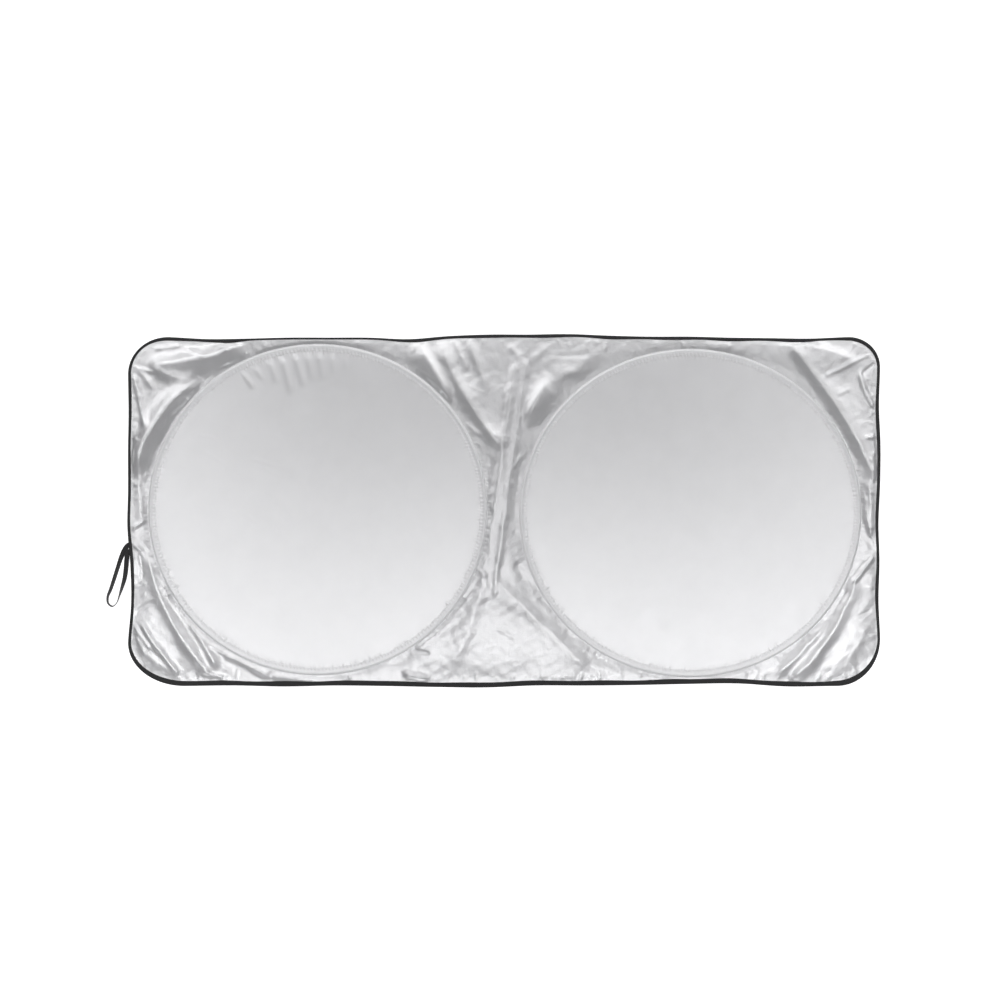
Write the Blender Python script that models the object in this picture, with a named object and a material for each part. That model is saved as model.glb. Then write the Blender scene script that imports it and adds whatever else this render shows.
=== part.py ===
"""A folding car sunshade, laid flat with its silver face up.

One silver-coated cloth carries two sprung wire hoops. Each hoop lies in a sleeve sewn to the front of
the cloth and keeps the round panel inside it taut, while the cloth outside the hoops stays loose and
lies in folds. A black tape binds the cut edge, and an elastic strap, sewn under the left edge, holds
the shade together when it is twisted into a coil.

Metres, +Z up, +X along the shade. The origin is the middle of the underside of the whole outline.
"""

import math

import bmesh
import bpy
import numpy as np
from mathutils import Matrix, Vector, geometry

# The shade as a whole
SHADE_LENGTH = 1.500  # over the binding
SHADE_WIDTH = 0.696
CLOTH_THICKNESS = 0.0004
CLEARANCE = 0.0003  # kept between pieces that touch

# Reach of each rounded corner along the length and along the width
CORNER_TOP_RIGHT = (0.062, 0.060)
CORNER_TOP_LEFT = (0.080, 0.074)
CORNER_BOTTOM_LEFT = (0.112, 0.086)
CORNER_BOTTOM_RIGHT = (0.086, 0.094)

# How far each edge stands out from a straight line, at even steps from corner to corner
WAVES_TOP = (
    *(0, -0.004, -0.003, -0.001, -0.001, -0.001, -0.004, 0.002, 0.005),
    *(0.005, 0.006, 0.003, 0.001, 0.001, -0.001, -0.002, -0.003, 0),
)
WAVES_RIGHT = (0, -0.003, -0.001, -0.003, 0, 0.001, -0.002, 0)
WAVES_BOTTOM = (0, -0.001, 0.001, -0.001, 0, 0.002, 0.003, -0.001, -0.001, -0.002, -0.004, -0.005, 0.001, 0)
WAVES_LEFT = (0, -0.006, -0.005, 0.001, 0, 0, -0.001, 0)

# The two wire hoops, each an oval that stops short of the outline's ends, of its long sides and of
# the shade's middle by these margins
SIDES = ("left", "right")
HOOP_TO_END = {"left": 0.0445, "right": 0.0415}
HOOP_TO_MIDDLE = {"left": 0.0375, "right": 0.0345}
HOOP_TO_TOP = {"left": 0.018, "right": 0.028}
HOOP_TO_BOTTOM = {"left": 0.026, "right": 0.022}
HOOP_STEPS = 56
WIRE_DIAMETER = 0.0022
WIRE_SIDES = 6
WIRE_END_GAP = 0.0008  # between the wire's two ends, inside the ferrule
FERRULE_LENGTH = 0.022
FERRULE_WALL = 0.0005
FERRULE_BORE_CLEARANCE = 0.0002
FERRULE_SIDES = 10
FERRULE_STEP = {"left": 5, "right": 17}  # which of the hoop's steps holds the ferrule

# The sleeve sewn over each wire
SLEEVE_INNER = 0.010  # from the wire to the edge inside the hoop
SLEEVE_OUTER = 0.0045  # from the wire to the edge outside the hoop
SLEEVE_THICKNESS = 0.0004
ARCH_STEPS = 3

# The edge binding
TAPE_THICKNESS = 0.0005
TAPE_FRONT = 0.009  # the width that shows
TAPE_BACK = 0.008
TAPE_NARROWEST = 0.0035  # where a hoop comes close to the edge
TAPE_FROM_SLEEVE = 0.0035  # kept between the tape and a hoop's sleeve
SEAM_DEPTH = 0.0009  # from the tape's fold to the cloth's cut edge
SEAM_MARGIN = 0.0012  # the cloth stays level this much further in than the tape
OUTLINE_STEP = 0.049
CORNER_STEPS = 7

# The elastic strap: half of it shows left of the edge as a long loop
STRAP_WIDTH = 0.0100
STRAP_THICKNESS = 0.0012
STRAP_STEPS = 36
# The middle line of the strap from where it is sewn on, with its tilt out of flat in degrees
STRAP_ROUTE = (
    (0.0055, 0.0050, 0),
    (-0.0015, 0.0040, 0),
    (-0.0080, -0.0040, 10),
    (-0.0155, -0.0210, 36),
    (-0.0220, -0.0410, 46),
    (-0.0290, -0.0630, 50),
    (-0.0360, -0.0840, 58),
    (-0.0415, -0.0980, 72),
    (-0.0410, -0.1110, 80),
    (-0.0320, -0.1175, 82),
    (-0.0235, -0.1100, 80),
    (-0.0185, -0.0960, 66),
    (-0.0135, -0.0800, 44),
    (-0.0085, -0.0620, 24),
    (-0.0060, -0.0440, 12),
    (-0.0045, -0.0250, 4),
    (-0.0025, -0.0110, 0),
    (0.0055, -0.0064, 0),
)
STRAP_HEIGHT_ON_EDGE = -0.205  # where it is sewn on the left edge, as a share of half the width

# The loose cloth
LOOSE_LIFT = 0.0028  # how high it bellies between the hoops and the binding
LOOSE_TOP = 0.0135  # no fold rises above this
LOOSE_BLEND = 0.010  # over this distance from a hoop or the binding it comes down
POINT_SPACING = 0.0215
CREST_SPACING = 0.021
CLOSEST_POINTS = 0.0085

# Each fold: the two ends of its crest (shares of half the length and half the width), its bow as a
# share of its length, the widths of the flanks to the left and right of it and its height
FOLDS = (
    # top left corner
    (-0.939, 0.839, -0.696, 0.948, -0.03, 0.02, 0.04, 0.009),
    (-0.941, 0.833, -0.829, 0.753, -0.06, 0.014, 0.022, 0.004),
    (-0.821, 0.744, -0.979, 0.241, -0.1, 0.026, 0.027, 0.009),
    (-0.985, 0.782, -0.955, 0.474, 0, 0.01, 0.008, 0.004),
    (-0.979, 0.825, -0.927, 0.690, 0, 0.007, 0.01, 0.003),
    # left side
    (-0.992, -0.112, -0.949, -0.032, 0, 0.006, 0.006, 0.0025),
    (-0.992, -0.170, -0.963, -0.230, 0, 0.005, 0.005, 0.0025),
    (-0.971, 0.345, -0.968, -0.057, 0, 0.012, 0.012, 0.0025),
    # bottom left corner
    (-0.949, -0.259, -0.781, -0.951, -0.054, 0.016, 0.012, 0.006),
    (-0.912, -0.397, -0.763, -0.897, 0.018, 0.014, 0.008, 0.005),
    (-0.965, -0.641, -0.869, -0.928, -0.03, 0.01, 0.007, 0.004),
    (-0.984, -0.652, -0.941, -0.790, 0, 0.005, 0.005, 0.003),
    (-0.973, -0.770, -0.864, -0.943, -0.05, 0.012, 0.014, 0.004),
    (-0.971, -0.239, -0.960, -0.399, 0, 0.005, 0.005, -0.002),
    (-0.741, -0.825, -0.624, -0.951, 0.05, 0.01, 0.01, 0.005),
    (-0.787, -0.753, -0.727, -0.828, 0, 0.008, 0.008, 0.003),
    (-0.627, -0.948, -0.491, -0.957, 0, 0.008, 0.007, 0.003),
    # between the hoops, above the waist
    (-0.229, 0.971, -0.139, 0.638, 0, 0.015, 0.032, 0.008),
    (-0.171, 0.968, -0.008, 0.374, -0.05, 0.024, 0.015, 0.006),
    (-0.133, 0.971, -0.096, 0.805, 0, 0.006, 0.006, 0.003),
    (-0.096, 0.971, -0.045, 0.693, 0.03, 0.012, 0.008, 0.004),
    (0.011, 0.971, 0.048, 0.853, 0, 0.009, 0.01, 0.005),
    (0.027, 0.862, -0.029, -0.029, 0.015, 0.02, 0.009, 0.006),
    (0.067, 0.839, 0.016, 0.086, 0.01, 0.01, 0.005, 0.0025),
    (0.128, 0.971, 0.069, 0.862, 0, 0.012, 0.012, 0.004),
    (0.133, 0.888, 0.229, 0.899, 0, 0.006, 0.006, -0.0025),
    (0.056, 0.511, 0.117, 0.787, 0.02, 0.014, 0.034, 0.009),
    (0.123, 0.787, 0.221, 0.810, 0, 0.012, 0.016, 0.005),
    # between the hoops, below the waist
    (-0.011, 0.086, -0.069, -0.460, 0.03, 0.02, 0.007, 0.005),
    (0.024, 0.080, -0.032, -0.517, 0.01, 0.009, 0.005, 0.0035),
    (0.032, -0.287, 0.061, -0.402, 0, 0.009, 0.009, -0.003),
    (-0.056, -0.460, -0.243, -0.851, 0.02, 0.034, 0.016, 0.005),
    (-0.024, -0.448, 0.104, -0.787, 0, 0.016, 0.028, 0.004),
    (0.083, -0.615, 0.211, -0.937, 0, 0.016, 0.024, 0.004),
    (-0.267, -0.925, -0.200, -0.966, 0, 0.009, 0.009, 0.004),
    # top right corner
    (0.765, 0.977, 0.989, 0.178, 0.085, 0.048, 0.025, 0.01),
    (0.787, 0.971, 0.933, 0.851, 0, 0.016, 0.024, 0.003),
    (0.944, 0.805, 0.989, 0.580, -0.05, 0.009, 0.007, 0.004),
    (0.949, 0.784, 0.984, 0.845, 0, 0.005, 0.005, -0.0025),
    # right side
    (0.933, 0.244, 0.976, -0.147, 0, 0.009, 0.005, 0.003),
    (0.971, 0.172, 0.981, -0.115, 0, 0.008, 0.008, 0.003),
    (0.949, -0.101, 0.987, -0.227, 0, 0.006, 0.006, -0.003),
    # bottom right corner
    (0.987, -0.253, 0.925, -0.411, 0, 0.006, 0.006, 0.004),
    (0.933, -0.397, 0.765, -0.966, 0.07, 0.016, 0.014, 0.006),
    (0.856, -0.649, 0.728, -0.943, 0.01, 0.012, 0.016, 0.005),
    (0.955, -0.279, 0.901, -0.402, 0, 0.007, 0.007, -0.003),
    (0.912, -0.457, 0.864, -0.595, 0, 0.008, 0.008, -0.003),
    (0.984, -0.345, 0.867, -0.934, 0.06, 0.03, 0.024, 0.004),
    (0.971, -0.618, 0.901, -0.897, 0.05, 0.02, 0.016, 0.004),
    (0.731, -0.793, 0.616, -0.920, 0, 0.01, 0.008, 0.004),
)
CREST_ROUNDING = 0.10  # as shares of a flank's width
FOOT_ROUNDING = 0.22

# Colours and finishes
SILVER = ((0.72, 0.72, 0.74), 0.38, 0.75)
SLEEVE_SILVER = ((0.76, 0.76, 0.78), 0.40, 0.70)
SPRING_STEEL = ((0.42, 0.42, 0.44), 0.35, 1.00)
ZINC = ((0.62, 0.63, 0.65), 0.30, 1.00)
TAPE_BLACK = ((0.020, 0.020, 0.022), 0.75, 0.00)
ELASTIC_BLACK = ((0.016, 0.016, 0.018), 0.85, 0.00)

HALF_LENGTH = SHADE_LENGTH / 2
HALF_WIDTH = SHADE_WIDTH / 2
FERRULE_RADIUS = WIRE_DIAMETER / 2 + FERRULE_BORE_CLEARANCE + FERRULE_WALL
WIRE_HEIGHT = CLOTH_THICKNESS + CLEARANCE + FERRULE_RADIUS
ARCH_RADIUS = FERRULE_RADIUS + CLEARANCE
EDGE_LEVEL = TAPE_THICKNESS + CLEARANCE  # the cloth's underside inside the binding
SLEEVE_REACH = SLEEVE_OUTER + 2 * CLEARANCE  # the cloth stays flat this far out from a wire


def smooth_step(value):
    """0 below 0, 1 above 1 and a smooth rise between."""
    t = np.clip(value, 0.0, 1.0)
    return t * t * (3 - 2 * t)


def smooth_through(values, share):
    """A smooth curve through evenly spaced values, read at a share from 0 to 1."""
    values = np.asarray(values, float)
    last = len(values) - 1
    place = np.clip(np.asarray(share, float), 0, 1) * last
    k = np.minimum(place.astype(int), last - 1)
    t = place - k
    before, here = values[np.maximum(k - 1, 0)], values[k]
    after, later = values[k + 1], values[np.minimum(k + 2, last)]
    return 0.5 * (
        2 * here
        + (after - before) * t
        + (2 * before - 5 * here + 4 * after - later) * t**2
        + (3 * here - before - 3 * after + later) * t**3
    )


def clear_scene():
    for old in list(bpy.data.objects):
        bpy.data.objects.remove(old)


def make_material(name, finish):
    colour, roughness, metallic = finish
    material = bpy.data.materials.new(name)
    material.use_nodes = True
    shader = material.node_tree.nodes["Principled BSDF"]
    shader.inputs["Base Color"].default_value = (*colour, 1.0)
    shader.inputs["Roughness"].default_value = roughness
    shader.inputs["Metallic"].default_value = metallic
    material.diffuse_color = (*colour, 1.0)
    return material


def finish_object(name, bm, material, frame):
    """Turns a bmesh into a shaded, named object that hangs on the shade's frame."""
    bmesh.ops.recalc_face_normals(bm, faces=bm.faces)
    mesh = bpy.data.meshes.new(name)
    bm.to_mesh(mesh)
    bm.free()
    mesh.shade_smooth()
    mesh.set_sharp_from_angle(angle=math.radians(40))
    mesh.materials.append(material)
    obj = bpy.data.objects.new(name, mesh)
    obj.parent = frame
    bpy.context.collection.objects.link(obj)
    return obj


def sweep(rings, closed):
    """A bmesh skin over rings of points that follow a path, capped at its ends unless it closes."""
    bm = bmesh.new()
    rows = [[bm.verts.new(point) for point in ring] for ring in rings]
    sides = len(rows[0])
    pairs = list(zip(rows, rows[1:])) + ([(rows[-1], rows[0])] if closed else [])
    for here, ahead in pairs:
        for i in range(sides):
            j = (i + 1) % sides
            bm.faces.new((here[i], here[j], ahead[j], ahead[i]))
    if not closed:
        bm.faces.new(list(reversed(rows[0])))
        bm.faces.new(rows[-1])
    return bm


def straight_edge(start, end, waves):
    """Points from start to end, without end, that stand out to the right of the way by the waves."""
    start, end = np.array(start), np.array(end)
    way = end - start
    length = np.linalg.norm(way)
    out = np.array((way[1], -way[0])) / length
    steps = max(2, round(length / OUTLINE_STEP))
    share = np.arange(steps) / steps
    stand = smooth_through(waves, share)
    return start + share[:, None] * way + stand[:, None] * out


def corner(centre, reach, start_degrees):
    """Points of a quarter oval, anticlockwise, without the last one."""
    turn = np.radians(start_degrees + 90 * np.arange(CORNER_STEPS) / CORNER_STEPS)
    return np.array(centre) + np.column_stack((reach[0] * np.cos(turn), reach[1] * np.sin(turn)))


def shade_outline():
    """The outer edge of the binding, anticlockwise from the right end of the bottom edge."""
    tr, tl, bl, br = CORNER_TOP_RIGHT, CORNER_TOP_LEFT, CORNER_BOTTOM_LEFT, CORNER_BOTTOM_RIGHT
    x, y = HALF_LENGTH, HALF_WIDTH
    return np.vstack(
        (
            corner((x - br[0], -y + br[1]), br, -90),
            straight_edge((x, -y + br[1]), (x, y - tr[1]), WAVES_RIGHT),
            corner((x - tr[0], y - tr[1]), tr, 0),
            straight_edge((x - tr[0], y), (-x + tl[0], y), WAVES_TOP[::-1]),
            corner((-x + tl[0], y - tl[1]), tl, 90),
            straight_edge((-x, y - tl[1]), (-x, -y + bl[1]), WAVES_LEFT[::-1]),
            corner((-x + bl[0], -y + bl[1]), bl, 180),
            straight_edge((-x + bl[0], -y), (x - br[0], -y), WAVES_BOTTOM),
        )
    )


def inward_normals(loop):
    """Unit vectors across an anticlockwise loop, pointing into it."""
    ahead, behind = np.roll(loop, -1, axis=0), np.roll(loop, 1, axis=0)
    way = ahead - behind
    way /= np.linalg.norm(way, axis=1)[:, None]
    return np.column_stack((-way[:, 1], way[:, 0]))


def inset(loop, distance):
    """The loop moved into itself by a distance, which may differ from point to point."""
    return loop + inward_normals(loop) * np.reshape(distance, (-1, 1))


def distance_to_loop(points, loop):
    """How far each point is from a closed loop of straight sides."""
    start, way = loop, np.roll(loop, -1, axis=0) - loop
    least = np.full(len(points), np.inf)
    for a, d in zip(start, way):
        t = np.clip((points - a) @ d / (d @ d), 0, 1)
        least = np.minimum(least, np.linalg.norm(points - a - t[:, None] * d, axis=1))
    return least


def strap_root():
    """The point of the left edge where the strap is sewn on."""
    y = STRAP_HEIGHT_ON_EDGE * HALF_WIDTH
    loop = shade_outline()
    left = loop[loop[:, 0] < -HALF_LENGTH / 2]
    order = np.argsort(left[:, 1])
    side = left[order][np.abs(left[order][:, 1]) < HALF_WIDTH * 0.7]
    return np.array((np.interp(y, side[:, 1], side[:, 0]), y))


def edge_lift(loop):
    """How high the binding's underside stands at each point: over the strap, and in slow waves."""
    root = strap_root()
    near = np.linalg.norm(loop - root, axis=1)
    strap_room = STRAP_THICKNESS + 2 * CLEARANCE
    over_strap = strap_room * (1 - smooth_step((near - 0.75 * OUTLINE_STEP - STRAP_WIDTH) / OUTLINE_STEP))
    way_round = np.arctan2(loop[:, 1] / HALF_WIDTH, loop[:, 0] / HALF_LENGTH)
    slow = 0.0007 * (1 + np.sin(9 * way_round + 0.6)) * smooth_step(near / 0.25 - 0.3)
    return np.maximum(over_strap, slow)


def hoop_oval(side):
    """A hoop's middle, and its reach from there along the length and along the width."""
    away = -1 if side == "left" else 1
    near, far = HOOP_TO_MIDDLE[side], HALF_LENGTH - HOOP_TO_END[side]
    low, high = -HALF_WIDTH + HOOP_TO_BOTTOM[side], HALF_WIDTH - HOOP_TO_TOP[side]
    return np.array((away * (near + far) / 2, (low + high) / 2)), (far - near) / 2, (high - low) / 2


def hoop_ring(side, offset=0.0):
    """Points round a hoop, at an offset outwards from its wire."""
    middle, a, b = hoop_oval(side)
    turn = 2 * math.pi * np.arange(HOOP_STEPS) / HOOP_STEPS
    on_wire = np.column_stack((a * np.cos(turn), b * np.sin(turn)))
    return middle + inset(on_wire, -offset)


def distance_outside_hoop(points, side):
    """Roughly how far each point lies outside a hoop's wire; negative inside it."""
    middle, a, b = hoop_oval(side)
    local = points - middle
    size = np.hypot(local[:, 0] / a, local[:, 1] / b)
    return (size - 1) * np.linalg.norm(local, axis=1) / np.maximum(size, 1e-6)


def fold_height(points):
    """The height that all folds together add at each point, before they fade towards the seams."""
    total = np.zeros(len(points))
    scale = np.array((HALF_LENGTH, HALF_WIDTH))
    for u0, v0, u1, v1, bow, left, right, height in FOLDS:
        start, end = np.array((u0, v0)) * scale, np.array((u1, v1)) * scale
        way = end - start
        length = np.linalg.norm(way)
        along = (points - start) @ way / length**2
        bowed = 4 * bow * length * along * (1 - along)
        across = (points - start) @ np.array((-way[1], way[0])) / length - bowed
        reach = np.sqrt((across / np.where(across > 0, left, right)) ** 2 + CREST_ROUNDING**2)
        tent = FOOT_ROUNDING * np.logaddexp(0, (1 - reach) / FOOT_ROUNDING)
        ends = smooth_step((0.5 - np.abs(along - 0.5)) * length / (left + right) + 0.3)
        total += height * ends * tent
    return total


def outside_hoops(points):
    """How far each point lies outside the nearer hoop's flat cloth."""
    return np.minimum(*(distance_outside_hoop(points, side) for side in SIDES)) - SLEEVE_REACH


def tape_width(outline, full):
    """The width of one leg of the tape at each point: full, or less where a hoop leaves less room."""
    return np.clip(outside_hoops(outline) - TAPE_FROM_SLEEVE, TAPE_NARROWEST, full)


def sewn_depth(outline):
    """How far in from the outline the cloth follows the tape."""
    return np.maximum(tape_width(outline, TAPE_FRONT), tape_width(outline, TAPE_BACK)) + SEAM_MARGIN


def cloth_height(points, outline):
    """The height of the loose cloth's underside over the ground."""
    nearest = np.array([np.argmin(np.linalg.norm(outline - p, axis=1)) for p in points])
    from_edge = distance_to_loop(points, outline) - sewn_depth(outline)[nearest]
    from_hoop = outside_hoops(points)
    loose = smooth_step(from_edge / LOOSE_BLEND) * smooth_step(from_hoop / LOOSE_BLEND)
    bellied = loose * np.clip(LOOSE_LIFT + fold_height(points), 0.0006, LOOSE_TOP)
    by_edge = smooth_step(1 - from_edge / LOOSE_BLEND) * smooth_step(from_hoop / (0.3 * LOOSE_BLEND))
    return np.maximum(bellied, (EDGE_LEVEL + edge_lift(outline)[nearest]) * by_edge)


def crest_points():
    """Points along each fold's crest and along the feet of its flanks."""
    scale = np.array((HALF_LENGTH, HALF_WIDTH))
    found = []
    for u0, v0, u1, v1, bow, left, right, _ in FOLDS:
        start, end = np.array((u0, v0)) * scale, np.array((u1, v1)) * scale
        way = end - start
        length = np.linalg.norm(way)
        across = np.array((-way[1], way[0])) / length
        steps = max(2, round(length / CREST_SPACING))
        along = (np.arange(steps) + 0.5) / steps
        bowed = 4 * bow * length * along * (1 - along)
        for aside in (0.0, left, -right):
            found.append(start + along[:, None] * way + (bowed + aside)[:, None] * across)
    return np.vstack(found)


def field_points():
    """A staggered grid over the whole shade."""
    rows = np.arange(-HALF_WIDTH, HALF_WIDTH, POINT_SPACING * math.sqrt(0.75))
    columns = np.arange(-HALF_LENGTH, HALF_LENGTH, POINT_SPACING)
    return np.array([(x + POINT_SPACING / 2 * (i % 2), y) for i, y in enumerate(rows) for x in columns])


def keep_apart(fixed, candidates, spacing):
    """The candidates that lie at least the spacing from the fixed points and from each other."""
    kept = [np.array(p) for p in fixed]
    first_new = len(kept)
    for point in candidates:
        if np.linalg.norm(np.array(kept) - point, axis=1).min() >= spacing:
            kept.append(point)
    return np.array(kept[first_new:]).reshape(-1, 2)


def loose_only(points, outline, margin):
    """The points that lie in the loose cloth, clear of the seams by the margin."""
    in_edge = inside_loop(points, inset(outline, sewn_depth(outline)))
    clear_of_edge = distance_to_loop(points, inset(outline, sewn_depth(outline))) > margin
    return points[in_edge & clear_of_edge & (outside_hoops(points) > margin)]


def inside_loop(points, loop):
    """Whether each point lies inside a closed loop, by counting the sides that a ray crosses."""
    crossed = np.zeros(len(points), bool)
    for (x0, y0), (x1, y1) in zip(loop, np.roll(loop, -1, axis=0)):
        if y0 == y1:
            continue
        spans = (points[:, 1] >= min(y0, y1)) & (points[:, 1] < max(y0, y1))
        at = x0 + (points[:, 1] - y0) * (x1 - x0) / (y1 - y0)
        crossed ^= spans & (points[:, 0] < at)
    return crossed


def sheet_plan(outline):
    """The cloth's points seen from above, the lengths of its seam rows, and each point's height."""
    rows = [inset(outline, TAPE_THICKNESS + SEAM_DEPTH), inset(outline, sewn_depth(outline))]
    rows += [hoop_ring(side, offset) for side in SIDES for offset in (-SLEEVE_INNER, SLEEVE_REACH)]
    seams = np.vstack(rows)
    crests = keep_apart(seams, loose_only(crest_points(), outline, CLOSEST_POINTS / 2), CLOSEST_POINTS)
    sewn = np.vstack((seams, crests))
    field = keep_apart(sewn, loose_only(field_points(), outline, POINT_SPACING / 3), POINT_SPACING * 0.6)
    at_tape = EDGE_LEVEL + np.tile(edge_lift(outline), 2)
    on_hoops = np.zeros(len(seams) - len(at_tape))
    loose = np.vstack((crests, field))
    height = np.concatenate((at_tape, on_hoops, cloth_height(loose, outline)))
    return np.vstack((seams, loose)), [len(row) for row in rows], height


def make_sheet(material, frame):
    """The cloth: flat under the sleeves and inside them, and in folds between them and the binding."""
    plan, row_lengths, height = sheet_plan(shade_outline())
    sides = []
    first = 0
    for count in row_lengths:
        loop = list(range(first, first + count))
        sides += zip(loop, loop[1:] + loop[:1])
        first += count
    cut_edge = list(range(row_lengths[0]))
    made = geometry.delaunay_2d_cdt([Vector(p) for p in plan], sides, [cut_edge], 1, 1e-6)
    places, faces, sources = made[0], made[2], made[3]

    bm = bmesh.new()
    corners = [bm.verts.new((x, y, height[source[0]])) for (x, y), source in zip(places, sources)]
    for face in faces:
        bm.faces.new([corners[i] for i in face])
    bmesh.ops.dissolve_limit(bm, angle_limit=1e-4, verts=bm.verts, edges=bm.edges)
    raised = bmesh.ops.extrude_face_region(bm, geom=bm.faces[:])
    upper = [item for item in raised["geom"] if isinstance(item, bmesh.types.BMVert)]
    bmesh.ops.translate(bm, verts=upper, vec=(0, 0, CLOTH_THICKNESS))
    return finish_object("silver_sheet", bm, material, frame)


def make_wire(side, material, frame):
    """The hoop's round wire, whose two ends meet inside the ferrule."""
    ring = hoop_ring(side)
    step = FERRULE_STEP[side]
    before, after = ring[step], ring[(step + 1) % HOOP_STEPS]
    middle, way = (before + after) / 2, (after - before) / np.linalg.norm(after - before)
    start, end = middle + way * WIRE_END_GAP / 2, middle - way * WIRE_END_GAP / 2
    order = [(step + 1 + k) % HOOP_STEPS for k in range(HOOP_STEPS)]
    path = np.vstack((start, ring[order], end))
    out = np.vstack(((way[1], -way[0]), -inward_normals(ring)[order], (way[1], -way[0])))
    turn = 2 * math.pi * np.arange(WIRE_SIDES) / WIRE_SIDES
    radius = WIRE_DIAMETER / 2
    rings = [
        [(*(p + n * radius * math.cos(t)), WIRE_HEIGHT + radius * math.sin(t)) for t in turn]
        for p, n in zip(path, out)
    ]
    return finish_object(f"hoop_wire_{side}", sweep(rings, closed=False), material, frame)


def make_ferrule(side, material, frame):
    """The tube crimped over the wire's two ends: a turned profile, laid along the wire."""
    ring = hoop_ring(side)
    before, after = ring[FERRULE_STEP[side]], ring[(FERRULE_STEP[side] + 1) % HOOP_STEPS]
    bore = WIRE_DIAMETER / 2 + FERRULE_BORE_CLEARANCE
    half = FERRULE_LENGTH / 2
    flare = FERRULE_WALL / 2
    profile = (
        (bore, -half),
        (FERRULE_RADIUS - flare, -half),
        (FERRULE_RADIUS, -half + flare),
        (FERRULE_RADIUS, half - flare),
        (FERRULE_RADIUS - flare, half),
        (bore, half),
    )
    bm = bmesh.new()
    points = [bm.verts.new((r, 0, z)) for r, z in profile]
    edges = [bm.edges.new((a, b)) for a, b in zip(points, points[1:] + points[:1])]
    bmesh.ops.spin(
        bm,
        geom=points + edges,
        axis=(0, 0, 1),
        cent=(0, 0, 0),
        angle=2 * math.pi,
        steps=FERRULE_SIDES,
        use_duplicate=False,
    )
    bmesh.ops.remove_doubles(bm, verts=bm.verts, dist=1e-6)
    ferrule = finish_object(f"wire_ferrule_{side}", bm, material, frame)
    ferrule.location = (*((before + after) / 2), WIRE_HEIGHT)
    ferrule.rotation_euler = (Vector((*(after - before), 0))).to_track_quat("Z", "Y").to_euler()
    return ferrule


def sleeve_profile():
    """The sleeve across its length: two sewn flanges and an arch over the wire, as (offset, height)."""
    seat = CLOTH_THICKNESS + CLEARANCE
    top = seat + SLEEVE_THICKNESS
    outer_radius = ARCH_RADIUS + SLEEVE_THICKNESS
    turn = np.radians(180 - 180 * np.arange(ARCH_STEPS + 1) / ARCH_STEPS)
    outside = [(outer_radius * math.cos(t), WIRE_HEIGHT + outer_radius * math.sin(t)) for t in turn]
    inside = [(ARCH_RADIUS * math.cos(t), WIRE_HEIGHT + ARCH_RADIUS * math.sin(t)) for t in turn[::-1]]
    hem = outer_radius + SLEEVE_THICKNESS
    return (
        [(-SLEEVE_INNER, seat), (-SLEEVE_INNER, top), (-hem, top)]
        + outside
        + [(hem, top), (SLEEVE_OUTER, top), (SLEEVE_OUTER, seat)]
        + [(ARCH_RADIUS + CLEARANCE, seat)]
        + inside
        + [(-ARCH_RADIUS - CLEARANCE, seat)]
    )


def make_sleeve(side, material, frame):
    """The strip sewn over the wire, carried round the hoop."""
    on_wire, out = hoop_ring(side), -inward_normals(hoop_ring(side))
    rings = [[(*(p + n * offset), z) for offset, z in sleeve_profile()] for p, n in zip(on_wire, out)]
    return finish_object(f"hoop_sleeve_{side}", sweep(rings, closed=True), material, frame)


def make_binding(material, frame):
    """The tape folded over the cut edge: its section, carried round the outline."""
    outline = shade_outline()
    into, lift = inward_normals(outline), edge_lift(outline)
    fronts, backs = tape_width(outline, TAPE_FRONT), tape_width(outline, TAPE_BACK)
    thick = EDGE_LEVEL + CLOTH_THICKNESS + CLEARANCE + TAPE_THICKNESS
    fold = TAPE_THICKNESS
    rings = []
    for point, normal, rise, front, back in zip(outline, into, lift, fronts, backs):
        section = (
            (back, 0),
            (fold, 0),
            (0, thick / 2),
            (fold, thick),
            (front, thick),
            (front, thick - TAPE_THICKNESS),
            (TAPE_THICKNESS + fold / 2, thick - TAPE_THICKNESS),
            (TAPE_THICKNESS + fold / 2, TAPE_THICKNESS),
            (back, TAPE_THICKNESS),
        )
        rings.append([(*(point + normal * depth), rise + z) for depth, z in section])
    return finish_object("edge_binding", sweep(rings, closed=True), material, frame)


def strap_stations():
    """Points of the strap's middle line, with the direction across it and its tilt, at even steps."""
    route = np.array(STRAP_ROUTE, float)
    share = np.linspace(0, 1, STRAP_STEPS + 1)
    x, y, tilt = (smooth_through(route[:, k], share) for k in range(3))
    line = strap_root() + np.column_stack((x, y))
    way = np.gradient(line, axis=0)
    way /= np.linalg.norm(way, axis=1)[:, None]
    across = np.column_stack((way[:, 1], -way[:, 0]))
    return line, across, np.radians(tilt)


def make_strap(material, frame):
    """The elastic: a flat band that lies flat where it is sewn and turns up on its edge in the loop."""
    rings = []
    for point, across, tilt in zip(*strap_stations()):
        half, thin = STRAP_WIDTH / 2, STRAP_THICKNESS / 2
        rise = half * abs(math.sin(tilt)) + thin * math.cos(tilt) + CLEARANCE / 2
        wide = np.array((*(across * math.cos(tilt)), math.sin(tilt)))
        up = np.array((*(-across * math.sin(tilt)), math.cos(tilt)))
        middle = np.array((*point, rise))
        corners = ((half, thin), (-half, thin), (-half, -thin), (half, -thin))
        rings.append([tuple(middle + wide * w + up * u) for w, u in corners])
    return finish_object("elastic_strap", sweep(rings, closed=False), material, frame)


def centre_on_origin(frame):
    """Moves the frame so that the middle of the underside of everything is the origin."""
    bpy.context.view_layer.update()
    corners = [obj.matrix_world @ Vector(c) for obj in frame.children for c in obj.bound_box]
    low = Vector(min(c[k] for c in corners) for k in range(3))
    high = Vector(max(c[k] for c in corners) for k in range(3))
    frame.matrix_world = Matrix.Translation((-(low.x + high.x) / 2, -(low.y + high.y) / 2, -low.z))


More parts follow.
